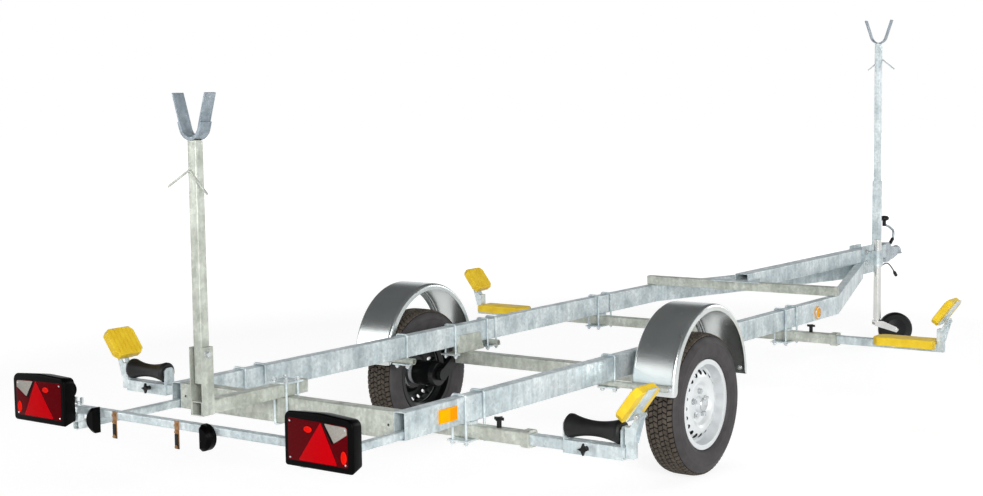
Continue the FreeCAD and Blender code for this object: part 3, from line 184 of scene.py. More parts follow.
def wheelLacquer(name, silver, black):
    # Silver lacquer on what faces outward. The rest is black, partly the hub's own black drum and partly
    # painted shade inside the wheel, and the walls and edges of the vents are black as painted shade.
    material, tree, place = newMaterial(name)
    normal = addNode(tree, "ShaderNodeNewGeometry").outputs["Normal"]
    looks = addNode(tree, "ShaderNodeSeparateXYZ", links={"Vector": normal})
    spot = addNode(tree, "ShaderNodeSeparateXYZ", links={"Vector": place})
    found = {"looks": looks.outputs["Y"], "x": spot.outputs["X"], "y": spot.outputs["Y"],
             "z": spot.outputs["Z"]}
    spacing = 2 * math.pi / rimDarkening["vents"]
    circle = rimDarkening["ventCircle"]
    # Each step has its name, its operation and what it works on. The nearest vent's middle lies aside along
    # the circle and outward across it.
    steps = [
        ("sign", "SIGN", "y"), ("facing", "MULTIPLY", "looks", "sign"), ("depth", "ABSOLUTE", "y"),
        ("along", "SUBTRACT", "x", station(layout["wheelStation"])),
        ("alongSquare", "MULTIPLY", "along", "along"),
        ("rise", "SUBTRACT", "z", layout["wheelRadius"]), ("riseSquare", "MULTIPLY", "rise", "rise"),
        ("angle", "ARCTAN2", "rise", "along"), ("turns", "DIVIDE", "angle", spacing),
        ("half", "ADD", "turns", 0.5), ("part", "FRACT", "half"), ("share", "SUBTRACT", "part", 0.5),
        ("aside", "MULTIPLY", "share", spacing * circle), ("asideSquare", "MULTIPLY", "aside", "aside"),
        ("radiusSquare", "ADD", "alongSquare", "riseSquare"), ("radius", "SQRT", "radiusSquare"),
        ("outward", "SUBTRACT", "radius", circle), ("outwardSquare", "MULTIPLY", "outward", "outward"),
        ("ventSquare", "ADD", "asideSquare", "outwardSquare"), ("vent", "SQRT", "ventSquare"),
    ]
    for step, operation, *terms in steps:
        settings = {index: term for index, term in enumerate(terms) if not isinstance(term, str)}
        links = {index: found[term] for index, term in enumerate(terms) if isinstance(term, str)}
        found[step] = addNode(tree, "ShaderNodeMath", {"operation": operation, **settings}, links)
    # The black masks: painted shade in and round the vents, and on the inner side the drum's black with
    # painted shade
    facing, depth, vent = (addNode(tree, "ShaderNodeMapRange", rimDarkening[part], {"Value": found[part]})
                           for part in ("facing", "depth", "vent"))
    inner = addNode(tree, "ShaderNodeMath", {"operation": "MAXIMUM"}, {0: facing, 1: depth})
    darkAndPaintedShade = addNode(tree, "ShaderNodeMath", {"operation": "MAXIMUM"}, {0: inner, 1: vent})
    tone = addNode(tree, "ShaderNodeValToRGB", {"stops": [(0.0, silver), (1.0, black)]}, {"Fac": darkAndPaintedShade})
    grain = addNode(tree, "ShaderNodeTexNoise", {"Scale": 700.0, "Detail": 2.0}, {"Vector": place})
    bump = addNode(tree, "ShaderNodeBump", {"Strength": 0.15, "Distance": 0.0003}, {"Height": grain})
    shader = addNode(tree, "ShaderNodeBsdfPrincipled", {"Roughness": 0.3, "Metallic": 0.25},
                     {"Base Color": tone, "Normal": bump})
    addNode(tree, "ShaderNodeOutputMaterial", links={"Surface": shader})
    return material


# Materials, each with what it gives the eye

# Rails, clamps and arms: cool pale zinc with clear crystals and runs
zincBlue = galvanisedSteel("galvanised_frame", "#d0dbde", "#abb9be", "#ebf2f3")
# Square tubes from another bath: warmer, greyer zinc, so that they stand out from the rails
zincWarm = galvanisedSteel("galvanised_tube", "#bec2b8", "#9a9f94", "#d6dad0")
# Mast forks: dull dark zinc
zincDark = galvanisedSteel("galvanised_fork", "#8f9aa2", "#707b84", "#a9b3ba", roughness=0.4)
# Coupling: darker zinc on cast iron, glossier on its rounded edges
castZinc = galvanisedSteel("cast_coupling_zinc", "#a3adb3", "#7f8a91", "#bcc5ca", metallic=0.6,
                           roughness=0.36)
# Nuts, bolts and hub caps: small bright points
boltZinc = galvanisedSteel("bright_zinc_bolts", "#d3d7d8", "#b4b9bb", "#e8ebeb", metallic=0.6,
                           roughness=0.28)
# Fenders: rolled sheet that mirrors the bright floor below and the dark above
sheetZinc = zincSheet("galvanised_sheet", "#dde1e0", "#c9cecd")
# Jockey leg and fork: thin bright plating, smoother than a zinc bath
zincPlate = zincSheet("zinc_plated_steel", "#dcdcd8", "#c2c4c2")
# Wheels: pale silver, with painted shade in the vents and black on the inner side, partly the drum's own
# black and partly painted shade
rimLacquerAndShade = wheelLacquer("silver_wheel_lacquer_and_painted_shade", "#e6e9ea", "#111213")
# Swing arms: black enamel that keeps a soft highlight
armBlack = mouldedPlastic("black_hub_enamel", "#131415", "#0a0b0c", roughness=0.35)
# Lamp shells: the deepest black of the trailer, with hardly any shine
lampBlack = mouldedPlastic("black_lamp_housing", "#070607", "#030303", roughness=0.3, shine=0.04)
# Knobs, plug, grip and jockey wheel: satin black
blackPlastic = mouldedPlastic("black_moulded_plastic", "#111213", "#0a0b0b", roughness=0.45, shine=0.25)
# Keel rollers: softer black with a broad highlight
rollerRubber = mouldedPlastic("black_roller_rubber", "#1a1a1a", "#101010")
# Tyre walls: matt grey black
sidewallRubber = mouldedPlastic("tyre_sidewall_rubber", "#4a4748", "#3d3a3b", roughness=0.62)
# Tread blocks: brownish from the road
treadRubber = mouldedPlastic("tyre_tread_rubber", "#5b534a", "#433c34", roughness=0.75)
# Grooves between the blocks: painted shade, nearly black
grooveShade = mouldedPlastic("tyre_groove_painted_shade", "#1c1916", "#12100e", roughness=0.85)
# Support pads: strong even yellow
yellowPad = mouldedPlastic("yellow_polyurethane_pad", "#f2d033", "#e3bb22", roughness=0.45)
# Plate clips: yellow passivated steel, brown at this distance
copperClip = mouldedPlastic("yellow_passivated_steel", "#a87f55", "#7d5b3a", roughness=0.35)
# Lamp lenses: dark wine red
redLens = lensPlastic("red_lens_acrylic", "#7c000a", "#3c0005", pitch=0.004)
# Reflecting triangles: pure red
redBright = lensPlastic("red_reflector_acrylic", "#d8000e", "#a80008")
# Bulges before the bulbs: orange red
redGlow = lensPlastic("bright_red_lens_acrylic", "#ff2a10", "#e01008")
# Lamps' reversing sector: greyish clear
clearLens = lensPlastic("clear_lens_acrylic", "#cfcbc4", "#8f8b84", pitch=0.004)
# Side reflectors: bright amber
amberLens = lensPlastic("amber_lens_acrylic", "#ffc000", "#ffac00")
# Their front field: a deeper amber
amberDeep = lensPlastic("deep_amber_lens_acrylic", "#ffac00", "#fa9000")
print("materials ready")


# Ways to make a piece

def clearSelection():
    if bpy.context.object and bpy.context.object.mode != "OBJECT":
        bpy.ops.object.mode_set(mode="OBJECT")
    bpy.ops.object.select_all(action="DESELECT")


def choose(piece):
    clearSelection()
    piece.select_set(True)
    bpy.context.view_layer.objects.active = piece


def bakePlace(piece):
    # A finished piece keeps its place in its mesh, with its object at the origin
    piece.data.transform(piece.matrix_world)
    piece.matrix_world = Matrix.Identity(4)
    return piece


def aimMesh(piece, ownAxis, axis, centre):
    turn = Vector(ownAxis).rotation_difference(Vector(axis)).to_matrix().to_4x4()
    piece.data.transform(Matrix.Translation(Vector(centre)) @ turn)


def dress(piece, material, body, smooth=40):
    piece.data.materials.clear()
    piece.data.materials.append(material)
    choose(piece)
    bpy.ops.object.shade_smooth_by_angle(angle=math.radians(smooth))
    clearSelection()
    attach(piece, body)
    return piece


def joinPieces(pieces, name):
    choose(pieces[0])
    for piece in pieces:
        piece.select_set(True)
    if len(pieces) > 1:
        bpy.ops.object.join()
    joined = bpy.context.view_layer.objects.active
    joined.name = name
    return joined


def meshPiece(name, points, edges, faces):
    mesh = bpy.data.meshes.new(name)
    mesh.from_pydata(points, edges, faces)
    piece = bpy.data.objects.new(name, mesh)
    bpy.context.collection.objects.link(piece)
    choose(piece)
    return piece


def breakEdges(piece, width, segments=1):
    choose(piece)
    bpy.ops.object.mode_set(mode="EDIT")
    bpy.ops.mesh.select_all(action="SELECT")
    bpy.ops.mesh.bevel(offset=width, segments=segments)
    bpy.ops.object.mode_set(mode="OBJECT")
    return piece


def bevelledBox(centre, size, edge, segments=2):
    clearSelection()
    bpy.ops.mesh.primitive_cube_add(size=1, location=centre)
    block = bpy.context.object
    block.dimensions = size
    bpy.ops.object.transform_apply(location=True, rotation=False, scale=True)
    return breakEdges(block, edge, segments)


# A spun outline ends this far from its axis, so that no faces meet in one point
poleGap = 0.0005


def spunProfile(name, profile, centre, axis, steps=96):
    # A closed outline of (along axis, radius) points, spun about the axis through the centre
    count = len(profile)
    points = [(0, along, radius) for along, radius in profile]
    piece = meshPiece(name, points, [(index, (index + 1) % count) for index in range(count)], [])
    bpy.ops.object.mode_set(mode="EDIT")
    bpy.ops.mesh.select_all(action="SELECT")
    bpy.ops.mesh.spin(steps=steps, angle=2 * math.pi, center=(0, 0, 0), axis=(0, 1, 0))
    bpy.ops.mesh.select_all(action="SELECT")
    bpy.ops.mesh.remove_doubles(threshold=0.00001)
    bpy.ops.mesh.normals_make_consistent(inside=False)
    bpy.ops.object.mode_set(mode="OBJECT")
    aimMesh(piece, (0, 1, 0), axis, centre)
    clearSelection()
    return piece


nutForm = {"washerThick": 0.002, "chamfer": 0.0009}


def hexNut(name, centre, axis, size):
    # A nut with chamfered corners on its washer, with the end of the stud where its size names one
    thick = nutForm["washerThick"]
    clearSelection()
    bpy.ops.mesh.primitive_cylinder_add(vertices=6, radius=size["flats"] / math.sqrt(3), depth=size["height"],
                                        location=(0, 0, thick + size["height"] / 2))
    parts = [bakePlace(breakEdges(bpy.context.object, nutForm["chamfer"]))]
    bpy.ops.mesh.primitive_cylinder_add(vertices=20, radius=size["washer"], depth=thick,
                                        location=(0, 0, thick / 2))
    parts.append(bakePlace(bpy.context.object))
    if "stud" in size:
        bpy.ops.mesh.primitive_cylinder_add(vertices=14, radius=size["stud"], depth=size["studOut"],
                                            location=(0, 0, thick + size["height"] + size["studOut"] / 2))
        parts.append(bakePlace(bpy.context.object))
    piece = joinPieces(parts, name)
    aimMesh(piece, (0, 0, 1), axis, centre)
    return piece


# CAD nodes that keep their shape

nodeFinish = {
    "side_rails": zincBlue, "drawbar_legs": zincBlue, "drawbar_beam": zincBlue, "head_plates": zincBlue,
    "beam_clamps": zincBlue, "light_frame": zincBlue, "front_mast_post": zincBlue, "jockey_clamp": zincBlue,
    "rear_crossmember": zincWarm, "front_crossbar": zincWarm, "axle_beam": zincWarm,
    "rear_cross_beam": zincWarm, "front_cross_beam": zincWarm, "fender_stays": zincWarm,
    "mast_foot": zincWarm, "rear_mast_post": zincWarm, "rear_mast_fork": zincDark,
    "front_mast_fork": zincDark, "jockey_leg": zincPlate, "jockey_fork": zincPlate,
    "coupling_head": castZinc, "coupling_handle": castZinc, "fenders": sheetZinc, "swing_arms": armBlack,
    "cable_plug": blackPlastic, "handle_knob": blackPlastic, "jockey_wheel": blackPlastic,
    "beam_knobs": blackPlastic, "plate_lamps": lampBlack, "lamp_housings": lampBlack, "lamp_lenses": redLens,
    "side_reflectors": amberLens, "plate_clips": copperClip,
}
for side, sign in sides:
    for part, material in (("hub", rimLacquerAndShade), ("rim", rimLacquerAndShade), ("tyre", sidewallRubber),
                           ("rear_roller", rollerRubber), ("rear_roller_knob", blackPlastic),
                           ("rear_roller_bracket", zincBlue), ("front_flat_pad", yellowPad)):
        nodeFinish[part + "_" + side] = material
    for end in ("rear", "front"):
        nodeFinish[end + "_arm_" + side] = zincBlue
        nodeFinish[end + "_tilt_plate_" + side] = zincBlue
        nodeFinish[end + "_tilt_pad_" + side] = yellowPad
for name, material in nodeFinish.items():
    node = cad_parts[name]
    node.data.materials.clear()
    node.data.materials.append(material)
print("frame dressed", len(nodeFinish), "of", len(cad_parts))


# Lighting cable

cable = {"route": [(5.5363, 0.505), (5.626, 0.505), (5.731, 0.470), (5.833, 0.496), (5.929, 0.492),
                   (6.012, 0.428)],
         "radius": 0.004, "length": 0.50}


def buildCable():
    # The cable leaves the drawbar's head and hangs below the coupling to its plug
    clearSelection()
    curve = bpy.data.curves.new("lighting_cable_line", "CURVE")
    curve.dimensions = "3D"
    curve.bevel_depth = cable["radius"]
    curve.bevel_resolution = 5
    curve.resolution_u = 16
    curve.use_fill_caps = True
    line = curve.splines.new("NURBS")
    line.points.add(len(cable["route"]) - 1)
    for point, (along, height) in zip(line.points, cable["route"]):
        point.co = (station(along), 0, height, 1)
    line.order_u = 3
    line.use_endpoint_u = True
    piece = bpy.data.objects.new("lighting_cable_line", curve)
    bpy.context.collection.objects.link(piece)
    curve.materials.append(blackPlastic)
    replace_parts(piece, "lighting_cable")
    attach(piece, "chassis")


buildCable()
print("cable laid")


# Tyres

# The crown is flat up to flatHalf and then falls away as a parabola, by fall at fallSpan further out. The
# wall's points, (across, radius), run from the shoulder over two ribs to the bead and back inside.
tyreForm = {
    "treadHalf": 0.064, "radius": 0.3068, "flatHalf": 0.030, "fall": 0.0042, "fallSpan": 0.026,
    "crown": (0.0, 0.030, 0.045, 0.056, 0.064), "grooveDepth": 0.007, "grooveShadeReach": 0.02,
    "wall": [(0.0695, 0.2875), (0.0745, 0.2795), (0.0785, 0.2680), (0.0800, 0.2655), (0.0808, 0.2625),
             (0.0802, 0.2610), (0.0819, 0.2540), (0.0825, 0.2430), (0.0815, 0.2300), (0.0775, 0.2180),
             (0.0778, 0.2165), (0.0735, 0.2080), (0.0665, 0.2005), (0.0605, 0.1975), (0.0572, 0.1960),
             (0.0572, 0.1800), (0.0450, 0.1800), (0.0500, 0.2000), (0.0600, 0.2350), (0.0500, 0.2700),
             (0.0, 0.2800)],
    "rows": 6, "pitches": 78, "blockShare": 0.74, "rowShare": 0.80, "blockEdge": 0.0008,
    "lean": 0.42, "edgeLean": 0.6, "rowShift": 0.35, "stepShift": 0.12,
}


def treadRadius(across):
    past = max(0.0, abs(across) - tyreForm["flatHalf"])
    return tyreForm["radius"] - tyreForm["fall"] * (past / tyreForm["fallSpan"]) ** 2


def treadBlock(row):
    # One slanted block of the first pitch, wrapped round the tyre, with its edges broken
    form = tyreForm
    rowWidth = 2 * form["treadHalf"] / form["rows"]
    pitch = 2 * math.pi * form["radius"] / form["pitches"]
    middle = -form["treadHalf"] + rowWidth * (row + 0.5)
    lean = form["lean"] * (1 if row % 2 else -1)
    if row in (0, form["rows"] - 1):
        lean *= form["edgeLean"]
    shift = pitch * (form["rowShift"] * (row % 2) + form["stepShift"] * row)
    size = (pitch * form["blockShare"], rowWidth * form["rowShare"], form["grooveDepth"])
    block = bevelledBox((0, 0, 0), size, form["blockEdge"], segments=1)
    for vertex in block.data.vertices:
        across = middle + vertex.co.y
        theta = (vertex.co.x + shift + vertex.co.y * lean) / form["radius"]
        radius = treadRadius(across) - form["grooveDepth"] / 2 + vertex.co.z
        vertex.co = (radius * math.sin(theta), across, radius * math.cos(theta))
    return block


def buildTread(side, centre):
    # The blocks of one pitch are joined, copied round the tyre and joined again
    pitchPiece = joinPieces([treadBlock(row) for row in range(tyreForm["rows"])], "tyre_tread_" + side)
    copies = [pitchPiece]
    for turn in range(1, tyreForm["pitches"]):
        copy = pitchPiece.copy()
        copy.data = pitchPiece.data.copy()
        bpy.context.collection.objects.link(copy)
        copy.data.transform(Matrix.Rotation(turn * 2 * math.pi / tyreForm["pitches"], 4, "Y"))
        copies.append(copy)
    blocks = joinPieces(copies, "tyre_tread_" + side)
    blocks.data.transform(Matrix.Translation(centre))
    dress(blocks, treadRubber, "wheel_" + side, smooth=30)


def buildTyre(side, sign):
    form = tyreForm
    half = [(across, treadRadius(across) - form["grooveDepth"]) for across in form["crown"]] + form["wall"]
    profile = half + [(-across, radius) for across, radius in reversed(half[1:-1])]
    centre = wheelCentre(sign)
    carcass = spunProfile("tyre_carcass_" + side, profile, centre, (0, 1, 0), steps=120)
    dress(carcass, sidewallRubber, "wheel_" + side, smooth=50)
    carcass.data.materials.append(grooveShade)
    # Carcass faces under the tread take the grooves' painted shade
    for face in carcass.data.polygons:
        spot = face.center - centre
        outside = math.hypot(spot.x, spot.z) > form["radius"] - form["grooveShadeReach"]
        if outside and abs(spot.y) < form["treadHalf"]:
            face.material_index = 1
    buildTread(side, centre)
    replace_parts(carcass, "tyre_" + side)


for side, sign in sides:
    buildTyre(side, sign)
print("tyres built")


# Wheel bolts and hub caps

wheelBolts = {"count": 5, "circle": 0.056, "firstAngle": 0.3, "seat": 0.0305,
              "size": {"flats": 0.019, "height": 0.013, "washer": 0.0135}}
hubCap = {"seat": 0.0525, "profile": [(0.0, poleGap), (0.0, 0.0295), (0.003, 0.0303), (0.006, 0.0285),
                                      (0.0085, 0.0245), (0.0098, 0.012), (0.010, poleGap)]}


def buildWheelBolts(side, sign):
    middle = wheelCentre(sign)
    bolts = []
    for index in range(wheelBolts["count"]):
        angle = 2 * math.pi * index / wheelBolts["count"] + wheelBolts["firstAngle"]
        reach = Vector((math.cos(angle), 0, math.sin(angle))) * wheelBolts["circle"]
        place = middle + reach + Vector((0, sign * wheelBolts["seat"], 0))
        bolts.append(hexNut("wheel_bolt", place, (0, sign, 0), wheelBolts["size"]))
    dress(joinPieces(bolts, "wheel_bolts_" + side), boltZinc, "wheel_" + side, smooth=25)
    seat = middle + Vector((0, sign * hubCap["seat"], 0))
    cap = spunProfile("hub_cap_" + side, hubCap["profile"], seat, (0, sign, 0), steps=48)
    dress(cap, boltZinc, "wheel_" + side)


for side, sign in sides:
    buildWheelBolts(side, sign)
print("wheels bolted")


# Nuts and bolts of the frame

# Each row has the stations of its U-bolts and the height of the tie plate's underside. The mast foot's
# own U-bolt ends point up, and one bolt goes through its sleeve.
clampNuts = {
    "rows": [((0.3440, 0.4590), 0.379), ((3.048, 3.178), 0.379), ((1.754,), 0.404), ((1.3857,), 0.411),
             ((2.015, 2.087), 0.411)],
    "legOut": 0.0303, "size": {"flats": 0.017, "height": 0.009, "washer": 0.0125},
    "footStations": (-0.0053, 0.0553), "footTop": 0.601,
    "sleeve": (-0.392, 0.0300, 0.7574), "sleeveSize": {"flats": 0.019, "height": 0.009, "washer": 0.014},
}


def buildClampNuts():
    legOut, size = clampNuts["legOut"], clampNuts["size"]
    nuts = []
    for stations, height in clampNuts["rows"]:
        for along in stations:
            for side in (-1, 1):
                for leg in (-1, 1):
                    place = (station(along), side * (layout["railCentre"] + leg * legOut), height)
                    nuts.append(hexNut("clamp_nut", place, (0, 0, -1), size))
    for along in clampNuts["footStations"]:
        for side in (-1, 1):
            place = (station(along), side * legOut, clampNuts["footTop"])
            nuts.append(hexNut("clamp_nut", place, (0, 0, 1), size))
    along, out, height = clampNuts["sleeve"]
    for side in (-1, 1):
        place = (station(along), side * out, height)
        nuts.append(hexNut("clamp_nut", place, (0, side, 0), clampNuts["sleeveSize"]))
    dress(joinPieces(nuts, "clamp_nuts"), boltZinc, "chassis", smooth=25)


# A bolt in the open end of each rear stay, and a nut inside each fender's front end
fenderBolts = {
    "stay": (1.385, 0.431), "stayInset": 0.016,
    "staySize": {"flats": 0.017, "height": 0.008, "washer": 0.013, "stud": 0.004, "studOut": 0.004},
    "front": (2.068, 0.420), "frontInset": 0.040,
    "frontSize": {"flats": 0.013, "height": 0.006, "washer": 0.011, "stud": 0.004, "studOut": 0.004},
}


def buildFenderBolts():
    low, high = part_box("fenders")
    bolts = []
    for sign, face in ((-1, low[1]), (1, high[1])):
        for part, axis in (("stay", (0, sign, 0)), ("front", (-1, 0, 0))):
            along, height = fenderBolts[part]
            place = (station(along), face - sign * fenderBolts[part + "Inset"], height)
            bolts.append(hexNut("fender_bolt", place, axis, fenderBolts[part + "Size"]))
    dress(joinPieces(bolts, "fender_bolts"), boltZinc, "chassis", smooth=25)


headBolts = {"along": 5.408, "heights": (0.543, 0.614),
             "size": {"flats": 0.024, "height": 0.012, "washer": 0.018, "stud": 0.007, "studOut": 0.010}}


def buildHeadBolts():
    # The bolts that clamp the head plates to the drawbar beam
    low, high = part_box("head_plates")
    nuts = []
    for sign, face in ((-1, low[1]), (1, high[1])):
        for height in headBolts["heights"]:
            place = (station(headBolts["along"]), face, height)
            nuts.append(hexNut("head_bolt", place, (0, sign, 0), headBolts["size"]))
    dress(joinPieces(nuts, "head_bolts"), boltZinc, "chassis", smooth=25)


# Each post's distance out from the middle; its pad tips about a pivot just outside it
supportBolts = {
    "stations": {"rear": 0.4015, "front": 3.113},
    "posts": [("rear", "left", 1.290), ("rear", "right", 1.243), ("front", "left", 1.356),
              ("front", "right", 1.356)],
    "pivotOut": 0.034, "pivotHeight": 0.540, "pivotHalf": 0.0245,
    "pivotSize": {"flats": 0.016, "height": 0.008, "washer": 0.011},
    "rollerInset": 0.0225, "rollerHeight": 0.4773,
    "rollerSize": {"flats": 0.013, "height": 0.003, "washer": 0.012},
}


def buildSupportBolts():
    # A bolt through each tilting pad's pivot, and one through each roller
    form = supportBolts
    for end, side, post in form["posts"]:
        sign = dict(sides)[side]
        along = station(form["stations"][end])
        nuts = []
        for way in (-1, 1):
            place = (along + way * form["pivotHalf"], sign * (post + form["pivotOut"]), form["pivotHeight"])
            nuts.append(hexNut("pivot_nut", place, (way, 0, 0), form["pivotSize"]))
        joined = joinPieces(nuts, end + "_pivot_nuts_" + side)
        dress(joined, boltZinc, end + "_rocker_" + side, smooth=25)
        if end == "rear":
            place = (along, sign * (post - form["rollerInset"]), form["rollerHeight"])
            nut = hexNut("rear_roller_bolt_" + side, place, (0, sign, 0), form["rollerSize"])
            dress(nut, boltZinc, "rear_support_" + side, smooth=25)


buildClampNuts()
buildFenderBolts()
buildHeadBolts()
buildSupportBolts()
print("bolts and nuts set")


# Lamps

# Outlines have corners of (across, height, corner radius) for the left lamp
lampForm = {
    "housing": [(0.532, 0.469, 0.010), (0.818, 0.469, 0.014), (0.818, 0.640, 0.026), (0.676, 0.650, 0.3),
                (0.532, 0.644, 0.024)],
    "lens": [(0.550, 0.489, 0.004), (0.798, 0.489, 0.010), (0.798, 0.619, 0.012), (0.550, 0.625, 0.006)],
    "triangle": [(0.593, 0.492, 0.003), (0.754, 0.492, 0.003), (0.688, 0.622, 0.002)],
    "clear": [(0.704, 0.620, 0.001), (0.742, 0.562, 0.001), (0.795, 0.593, 0.002), (0.795, 0.616, 0.008)],
    "shade": [(0.6925, 0.621, 0.001), (0.733, 0.556, 0.001), (0.7405, 0.5605, 0.001),
              (0.7025, 0.6205, 0.001)],
    "back": -0.495, "face": -0.554, "near": 0.0001, "shellEdge": 0.007,
    "middle": (0.675, 0.565), "taper": 0.9,
    "boss": {"across": 0.586, "height": 0.591, "radius": 0.029, "depth": 0.022, "edge": 0.004},
    "domeBulge": 0.0018, "domeProud": 0.0016, "screwSize": (0.0032, 0.0032),
    "domes": [("turn", 0.781, 0.520, (0.012, 0.021)), ("stop", 0.634, 0.594, (0.017, 0.010))],
    "screws": [(0.5580, 0.6150), (0.5580, 0.4980), (0.7880, 0.6080), (0.7880, 0.4980)],
}
# Each panel's material, how far it stands proud of the shell's face, its depth and its edge
lampPanels = {"lens": (redLens, 0.0012, 0.006, 0.0006), "triangle": (redBright, 0.0019, 0.002, 0.0003),
              "clear": (clearLens, 0.0019, 0.002, 0.0003), "shade": (lampBlack, 0.0020, 0.002, 0.0002)}


def roundedOutline(corners, steps=5, longest=0.45):
    # Each corner becomes an arc between the two sides that meet in it, with the longest share of a side
    points = []
    for index, (across, height, radius) in enumerate(corners):
        here = Vector((across, height))
        before = Vector(corners[index - 1][:2]) - here
        after = Vector(corners[(index + 1) % len(corners)][:2]) - here
        half = before.angle(after) / 2
        reach = min(radius / math.tan(half), longest * before.length, longest * after.length)
        radius = reach * math.tan(half)
        start = here + before.normalized() * reach
        end = here + after.normalized() * reach
        middle = here + (before.normalized() + after.normalized()).normalized() * (radius / math.sin(half))
        for step in range(steps + 1):
            spoke = (start - middle).lerp(end - middle, step / steps)
            points.append(tuple(middle + spoke.normalized() * radius))
    return points


def flatPanel(name, corners, sign, face, depth, edge, segments=2):
    # The outline at the face is pressed forward by the depth, and the edges of the face are broken
    points = [(station(face), sign * across, height) for across, height in roundedOutline(corners)]
    piece = meshPiece(name, points, [], [tuple(range(len(points)))])
    bpy.ops.object.mode_set(mode="EDIT")
    bpy.ops.mesh.select_all(action="SELECT")
    bpy.ops.mesh.extrude_region_move(TRANSFORM_OT_translate={"value": (depth, 0, 0)})
    bpy.ops.mesh.select_all(action="SELECT")
    bpy.ops.mesh.normals_make_consistent(inside=False)
    bpy.ops.mesh.select_all(action="DESELECT")
    bpy.ops.object.mode_set(mode="OBJECT")
    for vertex in piece.data.vertices:
        vertex.select = vertex.co.x < station(face) + lampForm["near"]
    bpy.ops.object.mode_set(mode="EDIT")
    bpy.ops.mesh.bevel(offset=edge, segments=segments)
    bpy.ops.object.mode_set(mode="OBJECT")
    clearSelection()
    return piece


def lampHousing(side, sign):
    # The shell is full size behind the lens and tapers towards its back, with a round socket boss
    form = lampForm
    shell = flatPanel("lamp_shell_" + side, form["housing"], sign, form["face"], form["back"] - form["face"],
                      form["shellEdge"], segments=4)
    middle = (sign * form["middle"][0], form["middle"][1])
    for vertex in shell.data.vertices:
        if vertex.co.x > station(form["back"]) - 10 * form["near"]:
            vertex.co.y = middle[0] + (vertex.co.y - middle[0]) * form["taper"]
            vertex.co.z = middle[1] + (vertex.co.z - middle[1]) * form["taper"]
    boss = form["boss"]
    edge, depth, radius = boss["edge"], boss["depth"], boss["radius"]
    profile = [(-edge, poleGap), (-edge, radius), (depth - edge, radius), (depth, radius - edge),
               (depth, poleGap)]
    place = (station(form["back"]), sign * boss["across"], boss["height"])
    socket = spunProfile("lamp_boss", profile, place, (1, 0, 0), steps=40)
    housing = joinPieces([shell, socket], "lamp_shell_" + side)
    return dress(housing, lampBlack, "light_board", smooth=35)


def lensDome(name, across, height, sign, size):
    # A low bulge of the lens in front of a bulb, or a screw's head
    clearSelection()
    bpy.ops.mesh.primitive_uv_sphere_add(segments=32, ring_count=16, radius=1)
    dome = bpy.context.object
    dome.name = name
    dome.scale = (lampForm["domeBulge"], size[0], size[1])
    dome.location = (station(lampForm["face"]) - lampForm["domeProud"], sign * across, height)
    bpy.ops.object.transform_apply(location=True, rotation=False, scale=True)
    return dome


def buildLamp(side, sign):
    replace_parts(lampHousing(side, sign), "lamp_housings")
    for part, (material, proud, depth, edge) in lampPanels.items():
        face = lampForm["face"] - proud
        panel = flatPanel("lamp_" + part + "_" + side, lampForm[part], sign, face, depth, edge)
        dress(panel, material, "light_board", smooth=30)
        if part == "lens":
            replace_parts(panel, "lamp_lenses")
    for part, across, height, size in lampForm["domes"]:
        dome = lensDome("lamp_" + part + "_" + side, across, height, sign, size)
        dress(dome, redGlow, "light_board")
    screws = [lensDome("lamp_screw", across, height, sign, lampForm["screwSize"])
              for across, height in lampForm["screws"]]
    dress(joinPieces(screws, "lamp_screws_" + side), boltZinc, "light_board")


for side, sign in sides:
    buildLamp(side, sign)
print("lamps dressed")


# Plate clips

clipForm = {"places": (0.340, 0.025), "rear": -0.493, "low": 0.441, "high": 0.492,
            "width": 0.017, "thick": 0.0030, "proud": 0.0014, "edge": 0.0008,
            "screwHeights": (0.448, 0.500, 0.524), "screwProud": 0.0026,
            "screwSize": {"flats": 0.009, "height": 0.004, "washer": 0.0065}}


def buildClips():
    # Each clip has a dark rubber tongue below the tube, held by two of its three small screws
    form = clipForm
    rear = station(form["rear"])
    size = (form["thick"], form["width"], form["high"] - form["low"])
    tongues = []
    screws = []
    for across in form["places"]:
        middle = (rear - form["proud"], across, (form["low"] + form["high"]) / 2)
        tongues.append(bevelledBox(middle, size, form["edge"]))
        for height in form["screwHeights"]:
            place = (rear - form["screwProud"], across, height)
            screws.append(hexNut("clip_screw", place, (-1, 0, 0), form["screwSize"]))
    dress(joinPieces(tongues, "clip_tongues"), blackPlastic, "light_board", smooth=30)
    dress(joinPieces(screws, "clip_screws"), copperClip, "light_board", smooth=25)


buildClips()


# Reflectors

# Two fields on the rail's rear end, each with its station and length, and the rim of the round reflector
reflectorForm = {
    "proud": 0.0062, "height": 0.496, "tall": 0.042, "thick": 0.002, "edge": 0.0008,
    "fields": [("rear", 0.2225, 0.058, amberLens), ("front", 0.2710, 0.037, amberDeep)],
    "round": (3.445, 0.487),
    "rim": [(0.0, 0.0245), (0.0, 0.032), (0.0025, 0.032), (0.0032, 0.0285), (0.0025, 0.0250)],
}


def buildReflectors(side, sign):
    form = reflectorForm
    face = sign * (layout["railOuter"] + form["proud"])
    for part, along, length, material in form["fields"]:
        size = (length, form["thick"], form["tall"])
        panel = bevelledBox((station(along), face, form["height"]), size, form["edge"])
        panel.name = "rail_reflector_" + part + "_" + side
        dress(panel, material, "chassis", smooth=30)
    along, height = form["round"]
    middle = (station(along), face, height)
    rim = spunProfile("round_reflector_rim_" + side, form["rim"], middle, (0, sign, 0), steps=64)
    dress(rim, zincPlate, "chassis")


for side, sign in sides:
    buildReflectors(side, sign)


# Coupling grip

gripForm = {"start": (5.936, 0.622), "end": (5.984, 0.651), "bore": 0.0083, "radius": 0.0115, "ribs": 7,
            "crest": (0.25, 0.75), "groove": 0.002, "gap": 0.0004}


